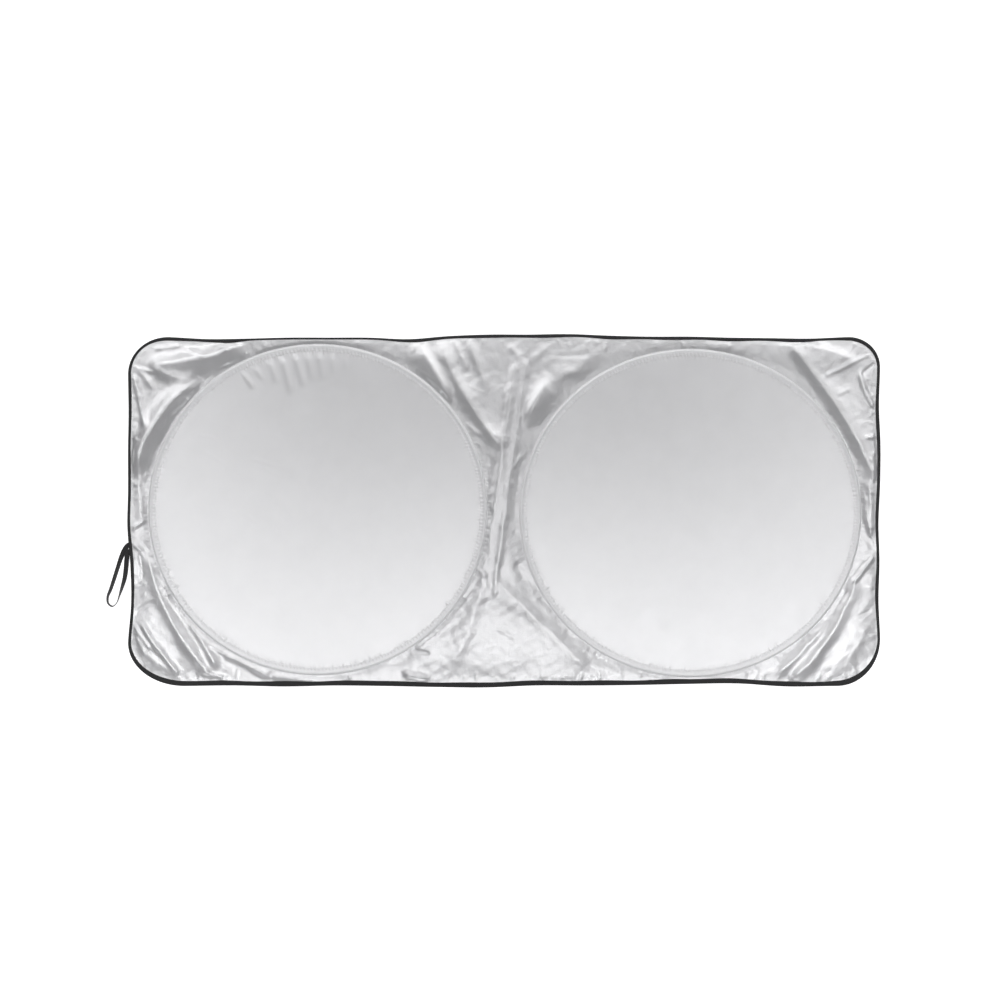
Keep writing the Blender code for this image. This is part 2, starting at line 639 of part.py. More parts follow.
def main():
    clear_scene()
    frame = bpy.data.objects.new("sunshade_frame", None)
    bpy.context.collection.objects.link(frame)
    silver = make_material("silver_cloth", SILVER)
    sleeve_silver = make_material("sleeve_cloth", SLEEVE_SILVER)
    steel = make_material("spring_steel", SPRING_STEEL)
    zinc = make_material("zinc_plate", ZINC)
    tape = make_material("black_tape", TAPE_BLACK)
    elastic = make_material("black_elastic", ELASTIC_BLACK)
    make_sheet(silver, frame)
    for side in SIDES:
        make_wire(side, steel, frame)
        make_ferrule(side, zinc, frame)
        make_sleeve(side, sleeve_silver, frame)
    make_binding(tape, frame)
    make_strap(elastic, frame)
    centre_on_origin(frame)


main()
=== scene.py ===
# %% [markdown]
# # A folding car sunshade, laid flat
#
# The shade is silver-coated cloth over two sprung wire hoops, with a black tape round its edge and an
# elastic strap on the left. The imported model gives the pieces' places. This script gives them their
# finish, and replaces the coarse cloth pieces by fine ones of the same form.
#
# Everything is in metres, +Z up, with +X along the shade.

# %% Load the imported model
import math

import bmesh
import bpy
import numpy as np
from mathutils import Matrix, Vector, geometry


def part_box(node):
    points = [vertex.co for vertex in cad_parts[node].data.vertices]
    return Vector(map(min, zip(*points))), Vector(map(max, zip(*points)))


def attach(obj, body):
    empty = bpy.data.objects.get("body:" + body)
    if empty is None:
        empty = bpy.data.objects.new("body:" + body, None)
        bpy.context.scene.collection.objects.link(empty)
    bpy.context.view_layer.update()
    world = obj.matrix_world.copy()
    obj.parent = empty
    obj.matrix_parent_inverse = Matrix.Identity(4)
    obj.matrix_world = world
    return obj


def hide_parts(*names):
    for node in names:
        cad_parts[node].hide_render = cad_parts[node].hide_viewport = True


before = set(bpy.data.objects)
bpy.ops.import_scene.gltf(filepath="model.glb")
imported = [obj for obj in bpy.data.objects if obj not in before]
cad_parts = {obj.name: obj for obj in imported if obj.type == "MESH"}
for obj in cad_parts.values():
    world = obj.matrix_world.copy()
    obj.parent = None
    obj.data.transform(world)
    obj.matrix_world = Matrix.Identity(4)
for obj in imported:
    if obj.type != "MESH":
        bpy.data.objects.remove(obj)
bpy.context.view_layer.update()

# %% [markdown]
# ## Sizes
#
# The outline and the folds repeat the values of the part's source. The hoops are read from the model.

# %% Sizes
SHADE_LENGTH = 1.500
SHADE_WIDTH = 0.696
HALF_LENGTH = SHADE_LENGTH / 2
HALF_WIDTH = SHADE_WIDTH / 2
CLOTH = 0.0004
CLEARANCE = 0.0003
SIDES = ("left", "right")

CORNER_TOP_RIGHT = (0.062, 0.060)
CORNER_TOP_LEFT = (0.080, 0.074)
CORNER_BOTTOM_LEFT = (0.112, 0.086)
CORNER_BOTTOM_RIGHT = (0.086, 0.094)
WAVES_TOP = (
    *(0, -0.004, -0.003, -0.001, -0.001, -0.001, -0.004, 0.002, 0.005),
    *(0.005, 0.006, 0.003, 0.001, 0.001, -0.001, -0.002, -0.003, 0),
)
WAVES_RIGHT = (0, -0.003, -0.001, -0.003, 0, 0.001, -0.002, 0)
WAVES_BOTTOM = (
    *(0, -0.001, 0.001, -0.001, 0, 0.002, 0.003),
    *(-0.001, -0.001, -0.002, -0.004, -0.005, 0.001, 0),
)
WAVES_LEFT = (0, -0.006, -0.005, 0.001, 0, 0, -0.001, 0)

HOOP_TO_END_LEFT = 0.0445
HOOP_TO_TOP_LEFT = 0.018
HOOP_TO_BOTTOM_LEFT = 0.026
WIRE_RADIUS = 0.0011
FERRULE_RADIUS = 0.0018
WIRE_HEIGHT = CLOTH + CLEARANCE + FERRULE_RADIUS
SLEEVE_INNER = 0.010
SLEEVE_OUTER = 0.0045
SLEEVE_REACH = SLEEVE_OUTER + 2 * CLEARANCE

TAPE = 0.0005
TAPE_FRONT = 0.009
TAPE_BACK = 0.008
TAPE_NARROWEST = 0.0035
TAPE_FROM_SLEEVE = 0.0035
SEAM_DEPTH = 0.0009
SEAM_MARGIN = 0.0012
EDGE_LEVEL = TAPE + CLEARANCE
OUTLINE_STEP = 0.049  # the length over which the edge rises to pass over the strap

STRAP_WIDTH = 0.0100
STRAP_THICKNESS = 0.0012
STRAP_ROUTE = (
    (0.0055, 0.0050, 0),
    (-0.0015, 0.0040, 0),
    (-0.0080, -0.0040, 10),
    (-0.0155, -0.0210, 36),
    (-0.0220, -0.0410, 46),
    (-0.0290, -0.0630, 50),
    (-0.0360, -0.0840, 58),
    (-0.0415, -0.0980, 72),
    (-0.0410, -0.1110, 80),
    (-0.0320, -0.1175, 82),
    (-0.0235, -0.1100, 80),
    (-0.0185, -0.0960, 66),
    (-0.0135, -0.0800, 44),
    (-0.0085, -0.0620, 24),
    (-0.0060, -0.0440, 12),
    (-0.0045, -0.0250, 4),
    (-0.0025, -0.0110, 0),
    (0.0055, -0.0064, 0),
)
STRAP_HEIGHT_ON_EDGE = -0.205

LOOSE_LIFT = 0.0028
EDGE_WAVE = 0.0007
HOOP_POINTS = 560

# %% [markdown]
# ## The hoops
#
# Each hoop is a ring of sprung wire, a little wider than it is high. Its oval comes from the box of its
# wire in the model, and so does the middle of the shade, so that the fine pieces fit the solids.


# %% Hoops
def hoop_from_model(side):
    """A hoop's middle and its two reaches, in the model's frame."""
    low, high = (np.array(c[:2]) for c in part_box(f"hoop_wire_{side}"))
    reach = (high - low) / 2 - WIRE_RADIUS
    return (low + high) / 2, reach[0], reach[1]


HOOPS = {side: hoop_from_model(side) for side in SIDES}
left_middle, left_reach, _ = HOOPS["left"]
SHADE_MIDDLE = left_middle + (
    HALF_LENGTH - left_reach - HOOP_TO_END_LEFT,
    (HOOP_TO_TOP_LEFT - HOOP_TO_BOTTOM_LEFT) / 2,
)

for side, (_, along, up) in HOOPS.items():
    print(side, "hoop reaches", round(float(along), 4), "and", round(float(up), 4), "m from its middle")

# %% [markdown]
# ## The outline
#
# The shade is nearly a rectangle. Its corners are quarters of ovals, and its sides wave by a few
# millimetres, because nothing holds the cloth straight between the hoops. It could be drawn as a curve
# object. An array of points a few millimetres apart was chosen, because the cloth, the tape and the
# stitches all need to measure from it.


# %% Outline
def smooth_step(value):
    """3t^2 - 2t^3 for t from 0 to 1, and level outside."""
    t = np.clip(value, 0.0, 1.0)
    return t * t * (3 - 2 * t)


def smooth_through(values, share):
    """A Catmull-Rom curve through evenly spaced values, read at a share from 0 to 1."""
    values = np.asarray(values, float)
    last = len(values) - 1
    place = np.clip(np.asarray(share, float), 0, 1) * last
    k = np.minimum(place.astype(int), last - 1)
    t = place - k
    before, here = values[np.maximum(k - 1, 0)], values[k]
    after, later = values[k + 1], values[np.minimum(k + 2, last)]
    return 0.5 * (
        2 * here
        + (after - before) * t
        + (2 * before - 5 * here + 4 * after - later) * t**2
        + (3 * here - before - 3 * after + later) * t**3
    )


def straight_edge(start, end, waves, spacing):
    """A side: evenly spaced points from start to end, each moved outwards by the smooth waves."""
    start, end = np.array(start), np.array(end)
    way = end - start
    length = np.linalg.norm(way)
    out = np.array((way[1], -way[0])) / length
    steps = max(2, round(length / spacing))
    share = np.arange(steps) / steps
    stand = smooth_through(waves, share)
    return start + share[:, None] * way + stand[:, None] * out


def corner(centre, reach, start_degrees, spacing):
    """A quarter of an oval: the centre plus (a cos t, b sin t), for 90 degrees from the start."""
    steps = max(7, round(0.5 * math.pi * sum(reach) / 2 / spacing))
    turn = np.radians(start_degrees + 90 * np.arange(steps) / steps)
    return np.array(centre) + np.column_stack((reach[0] * np.cos(turn), reach[1] * np.sin(turn)))


def shade_outline(spacing):
    """The outer edge of the binding, anticlockwise, with points about the spacing apart."""
    tr, tl, bl, br = CORNER_TOP_RIGHT, CORNER_TOP_LEFT, CORNER_BOTTOM_LEFT, CORNER_BOTTOM_RIGHT
    x, y = HALF_LENGTH, HALF_WIDTH
    loop = np.vstack(
        (
            corner((x - br[0], -y + br[1]), br, -90, spacing),
            straight_edge((x, -y + br[1]), (x, y - tr[1]), WAVES_RIGHT, spacing),
            corner((x - tr[0], y - tr[1]), tr, 0, spacing),
            straight_edge((x - tr[0], y), (-x + tl[0], y), WAVES_TOP[::-1], spacing),
            corner((-x + tl[0], y - tl[1]), tl, 90, spacing),
            straight_edge((-x, y - tl[1]), (-x, -y + bl[1]), WAVES_LEFT[::-1], spacing),
            corner((-x + bl[0], -y + bl[1]), bl, 180, spacing),
            straight_edge((-x + bl[0], -y), (x - br[0], -y), WAVES_BOTTOM, spacing),
        )
    )
    return loop + SHADE_MIDDLE


# %% [markdown]
# ## Measuring in the plan
#
# Folds fade out towards the seams, so each point of the cloth needs its distance from the tape and from
# the hoops. A ring beside a hoop is the oval with every point moved square to it.


# %% Distances
def inward_normals(loop):
    """The way from the point before to the point after, at length 1 and turned left by 90 degrees."""
    way = np.roll(loop, -1, axis=0) - np.roll(loop, 1, axis=0)
    way /= np.linalg.norm(way, axis=1)[:, None]
    return np.column_stack((-way[:, 1], way[:, 0]))


def inset(loop, distance):
    """The loop with every point moved inwards by its distance."""
    return loop + inward_normals(loop) * np.reshape(distance, (-1, 1))


def in_blocks(measure, points, loop):
    """Compares every point with the whole loop, 2000 points at a time to save memory."""
    ends = np.roll(loop, -1, axis=0)
    blocks = np.array_split(points, max(1, len(points) // 2000))
    return np.concatenate([measure(block[:, None, :], loop, ends) for block in blocks])


def distance_to_loop(points, loop):
    """The least distance to the loop's sides: from each side's nearest point, held between its ends."""
    def least(spot, start, end):
        way = end - start
        t = np.clip(((spot - start) * way).sum(2) / (way * way).sum(1), 0, 1)
        off = spot - start - t[:, :, None] * way
        return np.hypot(off[:, :, 0], off[:, :, 1]).min(axis=1)

    return in_blocks(least, points, loop)


def inside_loop(points, loop):
    """A point is inside if a line from it to the right crosses the loop an odd number of times."""

    def odd(spot, start, end):
        spans = (spot[:, :, 1] >= start[:, 1]) != (spot[:, :, 1] >= end[:, 1])
        rise = np.where(start[:, 1] == end[:, 1], 1, end[:, 1] - start[:, 1])
        at = start[:, 0] + (spot[:, :, 1] - start[:, 1]) * (end[:, 0] - start[:, 0]) / rise
        return (spans & (spot[:, :, 0] < at)).sum(axis=1) % 2 == 1

    return in_blocks(odd, points, loop)


def nearest_on(loop, points):
    """The index of the loop's nearest point to each point."""
    return in_blocks(lambda spot, start, _: ((spot - start) ** 2).sum(2).argmin(axis=1), points, loop)


def hoop_ring(side, steps, offset=0.0):
    """The wire's oval, (a cos t, b sin t) about its middle, moved outwards by the offset."""
    middle, a, b = HOOPS[side]
    turn = 2 * math.pi * np.arange(steps) / steps
    on_wire = np.column_stack((a * np.cos(turn), b * np.sin(turn)))
    return middle + inset(on_wire, -offset)


def outside_wire(points, side):
    """The distance outside an oval on the line from its middle: r (1 - 1 / size), size 1 on the oval."""
    middle, a, b = HOOPS[side]
    local = points - middle
    size = np.hypot(local[:, 0] / a, local[:, 1] / b)
    return (size - 1) * np.hypot(*local.T) / np.maximum(size, 1e-6)


def outside_wires(points):
    """The distance outside the nearer hoop's wire, negative inside it."""
    return np.minimum(*(outside_wire(points, side) for side in SIDES))


def outside_hoops(points):
    """The same from the sleeve's outer seam."""
    return outside_wires(points) - SLEEVE_REACH


OUTLINE = shade_outline(0.0035)
print("outline", len(OUTLINE), "points")

# %% [markdown]
# ## The height of the edge
#
# The tape lies on the ground, except where it passes over the strap's sewn ends and where it waves
# slightly. Its two legs are as wide as the gap to the nearest hoop allows.


# %% Edge
def strap_root():
    """Where the strap comes out from under the tape, on the left edge."""
    y = STRAP_HEIGHT_ON_EDGE * HALF_WIDTH + SHADE_MIDDLE[1]
    left = OUTLINE[OUTLINE[:, 0] < SHADE_MIDDLE[0] - HALF_LENGTH / 2]
    side = left[np.argsort(left[:, 1])]
    side = side[np.abs(side[:, 1] - SHADE_MIDDLE[1]) < HALF_WIDTH * 0.7]
    return np.array((np.interp(y, side[:, 1], side[:, 0]), y))


ROOT = strap_root()


def edge_lift(points):
    """How high the binding's underside stands: over the strap, and in slow waves."""
    near = np.hypot(*(points - ROOT).T)
    strap_room = STRAP_THICKNESS + 2 * CLEARANCE
    over_strap = strap_room * (1 - smooth_step((near - 0.75 * OUTLINE_STEP - STRAP_WIDTH) / OUTLINE_STEP))
    local = points - SHADE_MIDDLE
    way_round = np.arctan2(local[:, 1] / HALF_WIDTH, local[:, 0] / HALF_LENGTH)
    slow = EDGE_WAVE * (1 + np.sin(9 * way_round + 0.6)) * smooth_step(near / 0.25 - 0.3)
    return np.maximum(over_strap, slow)


def tape_width(points, full):
    """A leg's width: the full one, or what the nearest hoop leaves."""
    return np.clip(outside_hoops(points) - TAPE_FROM_SLEEVE, TAPE_NARROWEST, full)


# %% [markdown]
# ## The folds of the loose cloth
#
# Outside the hoops the cloth is slack and lies in creases. Each crease is a line with two flanks, like
# a tent: its height at a distance $d$ from the line is $h\,s\,\ln(1+e^{(1-\sqrt{(d/w)^2+c^2})/s})$,
# where $w$ is the width of the flank, $c$ rounds the crest and $s$ the foot. A valley has a negative
# height. The sum of all creases fades out towards the seams, where the cloth is held down.
#
# A sculpt or a cloth simulation could make such folds too. A table was chosen because the photographed
# shade has its folds in certain places, and because the model's source makes its own, larger folds from
# a table of this kind.
#
# Each row: the line's two ends (shares of half the length and half the width), its bow as a share of
# its length, and in millimetres the widths of its left and right flank and its height.

# %% The larger folds
FOLDS = (
    # top left corner
    (-0.939, 0.839, -0.696, 0.948, -0.03, 20, 34, 11.5),
    (-0.941, 0.833, -0.829, 0.753, -0.06, 14, 22, 4),
    (-0.821, 0.744, -0.979, 0.241, -0.1, 26, 24, 12),
    (-0.985, 0.782, -0.955, 0.474, 0, 10, 8, 4),
    (-0.979, 0.825, -0.927, 0.69, 0, 7, 10, 3),
    # left side
    (-0.992, -0.112, -0.949, -0.032, 0, 6, 6, 2.5),
    (-0.992, -0.17, -0.963, -0.23, 0, 5, 5, 2.5),
    (-0.971, 0.345, -0.968, -0.057, 0, 12, 12, 2.5),
    # bottom left corner
    (-0.949, -0.259, -0.781, -0.951, -0.054, 16, 13, 5),
    (-0.912, -0.397, -0.763, -0.897, 0.018, 14, 10, 4),
    (-0.965, -0.641, -0.869, -0.928, -0.03, 10, 7, 4),
    (-0.984, -0.652, -0.941, -0.79, 0, 5, 5, 3),
    (-0.973, -0.77, -0.864, -0.943, -0.05, 12, 14, 2),
    (-0.971, -0.239, -0.96, -0.399, 0, 5, 5, -2),
    (-0.741, -0.825, -0.624, -0.951, 0.05, 10, 10, 5),
    (-0.787, -0.753, -0.727, -0.828, 0, 8, 8, 3),
    (-0.627, -0.948, -0.491, -0.957, 0, 8, 7, 3),
    # between the hoops, above the waist
    (-0.229, 0.971, -0.139, 0.638, 0, 15, 32, 8),
    (-0.171, 0.968, -0.008, 0.374, -0.05, 24, 15, 6),
    (-0.133, 0.971, -0.096, 0.805, 0, 8, 8, 2),
    (-0.096, 0.971, -0.045, 0.693, 0.03, 15, 12, 3),
    (0.011, 0.971, 0.048, 0.853, 0, 10, 12, 1.6),
    (0.032, 0.874, -0.064, -0.431, 0, 26, 11, 4.5),
    (0.06, 0.862, -0.027, -0.489, 0, 8, 9, 2.2),
    (0.128, 0.971, 0.069, 0.862, 0, 12, 12, 1.6),
    (0.133, 0.888, 0.229, 0.899, 0, 7, 7, -1),
    (0.056, 0.511, 0.123, 0.776, 0.02, 16, 34, 7.5),
    (0.123, 0.787, 0.221, 0.81, 0, 18, 18, 3),
    # between the hoops, below the waist
    (0.032, -0.287, 0.061, -0.402, 0, 9, 9, -3),
    (-0.056, -0.379, -0.245, -0.822, 0.02, 30, 22, 2.4),
    (-0.051, -0.385, -0.131, -0.868, 0.02, 18, 22, 2.4),
    (-0.021, -0.374, 0.112, -0.667, -0.03, 14, 26, 2.8),
    (0.107, -0.644, 0.221, -0.897, 0, 16, 22, 2.2),
    (-0.267, -0.925, -0.2, -0.966, 0, 9, 9, 4),
    # top right corner
    (0.752, 0.98, 0.997, 0.144, 0.04, 40, 17, 6.5),
    (0.787, 0.971, 0.941, 0.862, 0, 14, 40, 5),
    (0.944, 0.805, 0.989, 0.58, -0.05, 9, 7, 4),
    (0.949, 0.784, 0.984, 0.845, 0, 5, 5, -2.5),
    # right side
    (0.933, 0.244, 0.976, -0.147, 0, 9, 5, 3),
    (0.971, 0.172, 0.981, -0.115, 0, 8, 8, 3),
    (0.949, -0.101, 0.987, -0.227, 0, 6, 6, -3),
    # bottom right corner
    (0.987, -0.253, 0.925, -0.411, 0, 6, 6, 4),
    (0.933, -0.397, 0.765, -0.966, 0.07, 16, 14, 5),
    (0.856, -0.649, 0.728, -0.943, 0.01, 12, 16, 4),
    (0.955, -0.279, 0.901, -0.402, 0, 7, 7, -3),
    (0.912, -0.457, 0.864, -0.595, 0, 8, 8, -3),
    (0.984, -0.345, 0.867, -0.934, 0.06, 30, 24, 1.8),
    (0.971, -0.618, 0.901, -0.897, 0.05, 20, 16, 1.7),
    (0.731, -0.793, 0.616, -0.92, 0, 10, 8, 4),
)

# %% [markdown]
# The next two tables are too fine for the model's source: small creases in the loose cloth, and the
# shallow ones inside the left hoop.

# %% The small creases
FINE_FOLDS = (
    # top left
    (-0.928, 0.928, -0.864, 0.951, 0, 4, 5, 2.5),
    (-0.853, 0.934, -0.8, 0.897, 0, 6, 6, 2.5),
    (-0.747, 0.943, -0.728, 0.902, 0, 4, 5, 2),
    (-0.977, 0.825, -0.933, 0.793, 0, 4, 5, 2),
    (-0.992, 0.425, -0.965, 0.402, 0, 4, 5, 2),
    # left
    (-0.963, -0.161, -0.933, -0.253, 0, 4, 4, 1.5),
    (-0.992, 0.178, -0.963, 0.138, 0, 5, 5, 1.2),
    # bottom left
    (-0.983, -0.684, -0.949, -0.805, 0, 3.5, 3.5, 2),
    (-0.98, -0.718, -0.955, -0.822, 0, 3.5, 3.5, 2),
    (-0.984, -0.606, -0.928, -0.514, 0.1, 5, 5, -2),
    (-0.8, -0.92, -0.747, -0.948, 0, 4, 5, 2),
    # waist
    (-0.091, 0.716, -0.037, 0.67, -0.05, 4, 4, 0.7),
    (-0.037, 0.67, 0, 0.727, -0.05, 4, 4, 0.7),
    (0.027, 0.244, 0.048, 0.325, 0, 4, 4, 2),
    (0.04, 0.216, 0.048, 0.086, 0, 6, 6, -2),
    (-0.101, 0.497, -0.059, 0.428, 0, 5, 6, 1.2),
    (0.027, -0.115, 0.045, -0.144, 0, 5, 5, -2),
    (-0.067, -0.33, -0.048, -0.374, 0, 4, 4, 2),
    (-0.021, -0.664, 0.032, -0.733, 0.03, 4, 4, -0.8),
    (-0.251, -0.79, -0.197, -0.813, 0, 4, 4, -2),
    # right
    (0.853, 0.773, 0.971, 0.899, 0, 4, 4, 1.5),
    (0.885, 0.664, 0.92, 0.704, 0, 4, 4, 1.2),
    (0.992, 0.589, 0.971, 0.546, 0, 4, 4, 2),
    (0.992, 0.431, 0.96, 0.428, 0, 5, 5, 2.5),
    (0.992, 0.339, 0.979, 0.322, 0, 4, 4, 2),
    (0.939, -0.606, 0.976, -0.56, 0, 5, 5, -1.5),
    (0.765, -0.718, 0.749, -0.77, 0, 3, 3, 1.5),
    (0.781, -0.69, 0.765, -0.741, 0, 3, 3, 1.5),
)
PANEL_FOLDS = (
    # left hoop, under the top seam
    (-0.712, 0.851, -0.665, 0.707, 0, 6, 7, 1.1),
    (-0.68, 0.891, -0.64, 0.753, 0, 7, 8, 0.9),
    (-0.64, 0.943, -0.603, 0.736, 0.02, 9, 9, 1.2),
    (-0.603, 0.96, -0.565, 0.678, 0.02, 9, 10, 1.5),
    (-0.567, 0.966, -0.531, 0.718, 0.01, 9, 10, 1.5),
    (-0.531, 0.971, -0.507, 0.753, 0, 9, 9, 1.4),
    (-0.497, 0.977, -0.48, 0.759, 0, 9, 9, 1.3),
    (-0.461, 0.977, -0.451, 0.793, 0, 9, 9, 1),
    (-0.425, 0.966, -0.419, 0.816, 0, 9, 9, 0.7),
    # left hoop, hair creases
    (-0.811, 0.437, -0.768, 0.422, 0, 2.5, 3, 0.3),
    (-0.797, 0.345, -0.747, 0.276, 0.02, 2.5, 3, 0.25),
    (-0.667, 0.299, -0.549, 0.224, 0.01, 4, 4, 0.5),
    (-0.64, 0.253, -0.573, 0.178, 0, 2.5, 3, 0.25),
    (-0.683, -0.023, -0.648, -0.08, 0, 2.5, 3, 0.25),
    (-0.587, 0.057, -0.547, -0.115, 0.03, 2.5, 3, 0.2),
)
print("folds", len(FOLDS), "small creases", len(FINE_FOLDS), "in the left hoop", len(PANEL_FOLDS))

# %% [markdown]
# The formula is worked out for all points at once, one crease after another. A crease only touches the
# points near it.

# %% From a table to heights
LOOSE_TOP = 0.0135
CREST_ROUNDING = 0.10
FOOT_ROUNDING = 0.22
FOLD_SHARE = 0.8
FOLD_WANDER = 0.0012
SLACK = 0.0005
CRINKLE = 0.00014
EDGE_BLEND = 0.006
HOOP_BLEND = 0.009
EDGE_RISE = 0.045
HOOP_RISE = 0.040
PANEL_BLEND = 0.018


def crease_height(points, creases):
    """The tent formula above, summed over creases given in metres by their ends."""
    total = np.zeros(len(points))
    for x0, y0, x1, y1, bow, left, right, height in creases:
        start, way = np.array((x0, y0)), np.array((x1 - x0, y1 - y0))
        length = np.hypot(*way)
        reach = length + left + right
        near = np.flatnonzero(np.abs(points - start).max(axis=1) < reach)
        off = points[near] - start
        along = off @ way / length**2
        bowed = 4 * bow * length * along * (1 - along)
        across = off @ np.array((-way[1], way[0])) / length - bowed
        far = np.sqrt((across / np.where(across > 0, left, right)) ** 2 + CREST_ROUNDING**2)
        tent = FOOT_ROUNDING * np.logaddexp(0, (1 - far) / FOOT_ROUNDING)
        ends = smooth_step((0.5 - np.abs(along - 0.5)) * length / (left + right) + 0.3)
        total[near] += height * ends * tent
    return total


def placed(table):
    """A table's rows in metres, with their ends in the model's frame."""
    rows = np.array(table)
    scale = np.array((HALF_LENGTH, HALF_WIDTH))
    rows[:, 0:2] = rows[:, 0:2] * scale + SHADE_MIDDLE
    rows[:, 2:4] = rows[:, 2:4] * scale + SHADE_MIDDLE
    rows[:, 5:] /= 1000
    return rows


# %% [markdown]
# The seams also pull small puckers into the cloth, square to the seam and a centimetre or two long.
# They are scattered along each seam with seeded random lengths and heights.


# %% Puckers and unevenness
def puckers(seam, away, spacing, lengths, heights, seed):
    """Short creases from a seam into the cloth: rows as placed() gives them."""
    chance = np.random.default_rng(seed)
    step = np.hypot(*(np.roll(seam, -1, axis=0) - seam).T)
    run = np.concatenate(((0,), np.cumsum(step)[:-1]))
    count = int(step.sum() / spacing)
    at = (np.arange(count) + chance.uniform(-0.35, 0.35, count)) * spacing
    k = np.searchsorted(run, at % run[-1]) % len(seam)
    length = chance.uniform(*lengths, count)
    lean = chance.uniform(-0.35, 0.35, count)
    turned = np.column_stack((-away[k, 1], away[k, 0]))
    way = (away[k] + lean[:, None] * turned) * length[:, None]
    wide = chance.uniform(0.0025, 0.0045, (count, 2))
    tall = chance.uniform(*heights, count) * np.where(chance.random(count) < 0.85, 1, -0.5)
    return np.column_stack((seam[k] - 0.3 * way, seam[k] + way, np.zeros(count), wide, tall))


def wander(points, size, seed):
    """Smooth unevenness from about -1 to 1: the sum of eight sine waves of about the size, any way on."""
    chance = np.random.default_rng(seed)
    turn = chance.uniform(0, 2 * math.pi, 8)
    pace = math.pi / size * chance.uniform(0.6, 1.5, 8)
    waves = np.sin(points @ (pace * (np.cos(turn), np.sin(turn))) + chance.uniform(0, 2 * math.pi, 8))
    return waves.sum(axis=1) / 3.2


# %% [markdown]
# ## The tape's front and the seams
#
# Seen from the front the tape is widest along the bottom. Over the top of the left hoop most of it is
# turned to the back. Its inner edge is a seam, and so is the outer edge of each sleeve.

# %% Seams
LEG_SHARE = 0.72
LEG_SHARE_ADDED_BELOW = 0.38
LEG_SHARE_TURNED_BACK = 0.45
TURNED_BACK = (-0.54, -0.16)


def front_leg(points):
    """The front leg's width: widest along the bottom, narrowest over the left hoop's top."""
    x, y = (points - SHADE_MIDDLE).T
    below = smooth_step(-y / 0.08 - 3.2)
    share = LEG_SHARE + LEG_SHARE_ADDED_BELOW * below + 0.08 * wander(points, 0.07, seed=60)
    start, end = TURNED_BACK
    back = smooth_step((x - start) / 0.05) * smooth_step((end - x) / 0.10) * (y > 0)
    return tape_width(points, TAPE_FRONT) * (share * (1 - back) + LEG_SHARE_TURNED_BACK * back)


def edge_puckers():
    """Puckers from the tape's seam into the cloth."""
    way_in = inward_normals(TAPE_SEAM)
    return puckers(TAPE_SEAM, way_in, 0.019, (0.006, 0.024), (0.0003, 0.0010), seed=3)


def hoop_puckers(side):
    """Puckers from a sleeve's outer seam into the loose cloth."""
    way_out = -inward_normals(HOOP_SEAMS[side])
    return puckers(HOOP_SEAMS[side], way_out, 0.013, (0.005, 0.018), (0.0003, 0.0008), seed=5)


TAPE_SEAM = inset(OUTLINE, front_leg(OUTLINE) + SEAM_MARGIN)
HOOP_SEAMS = {side: hoop_ring(side, HOOP_POINTS, SLEEVE_REACH) for side in SIDES}
EDGE_PUCKERS = edge_puckers()
HOOP_PUCKERS = np.vstack([hoop_puckers(side) for side in SIDES])
print("puckers", len(EDGE_PUCKERS), "along the tape,", len(HOOP_PUCKERS), "round the hoops")

# %% [markdown]
# ## The height of the cloth
#
# The loose cloth rests on the tape at its edge, rises a little between the seams and carries its folds
# there. Inside a hoop it is taut, and only the left one has creases.


# %% Heights
def cloth_height(points):
    """The height of the loose cloth's underside over the ground, at points of the plan."""
    at = nearest_on(OUTLINE, points)
    from_edge = distance_to_loop(points, OUTLINE[::2]) - (front_leg(OUTLINE) + SEAM_MARGIN)[at]
    from_hoop = outside_hoops(points)
    shift = np.column_stack((wander(points, 0.05, seed=31), wander(points, 0.05, seed=87))) * FOLD_WANDER
    folds = FOLD_SHARE * crease_height(points + shift, np.vstack((placed(FOLDS), placed(FINE_FOLDS))))
    slack = SLACK * wander(points, 0.045, seed=55) + CRINKLE * wander(points, 0.014, seed=15)
    reach = 1 + 0.4 * wander(points, 0.03, seed=71)
    held = smooth_step(from_edge / (EDGE_BLEND * reach)) * smooth_step(from_hoop / (HOOP_BLEND * reach))
    lift = LOOSE_LIFT * smooth_step(from_edge / EDGE_RISE) * smooth_step(from_hoop / HOOP_RISE)
    by_seams = smooth_step(from_edge / 0.004 + 0.2) * smooth_step(from_hoop / 0.004)
    small = crease_height(points, np.vstack((EDGE_PUCKERS, HOOP_PUCKERS))) * by_seams
    by_edge = smooth_step(1 - from_edge / EDGE_RISE) * smooth_step(from_hoop / 0.003)
    on_edge = (EDGE_LEVEL + edge_lift(points)) * by_edge
    return np.clip(on_edge + lift + held * (folds + slack) + small, 0, LOOSE_TOP)


def panel_height(points):
    """The shallow creases inside the hoops, gone where the sleeve's flange holds the cloth."""
    inside = -outside_wires(points) - SLEEVE_INNER
    return np.maximum(crease_height(points, placed(PANEL_FOLDS)), 0) * smooth_step(inside / PANEL_BLEND)


# %% [markdown]
# ## The silver cloth
#
# The plan is triangulated from a staggered grid: fine in the loose cloth and along the creases inside
# the left hoop, coarser in the flat rest. The seams are rows of points of their own, so that the cloth's
# edge follows the tape and the sleeves. A square grid would cut its folds into steps.

# %% Plan of the cloth
LOOSE_SPACING = 0.0036
PANEL_SPACING = 0.0090
NEAR_CREASE = 0.015


def staggered(spacing):
    """Points in rows, each second row half a step along, all over the shade."""
    rows = np.arange(-HALF_WIDTH, HALF_WIDTH, spacing * math.sqrt(0.75))
    columns = np.arange(-HALF_LENGTH, HALF_LENGTH, spacing)
    x, y = np.meshgrid(columns, rows)
    x[1::2] += spacing / 2
    return np.column_stack((x.ravel(), y.ravel())) + SHADE_MIDDLE


# %% [markdown]
# Arrays become meshes by from_pydata. Cloth has a thickness, so its single layer is copied upwards and
# the rims are joined.


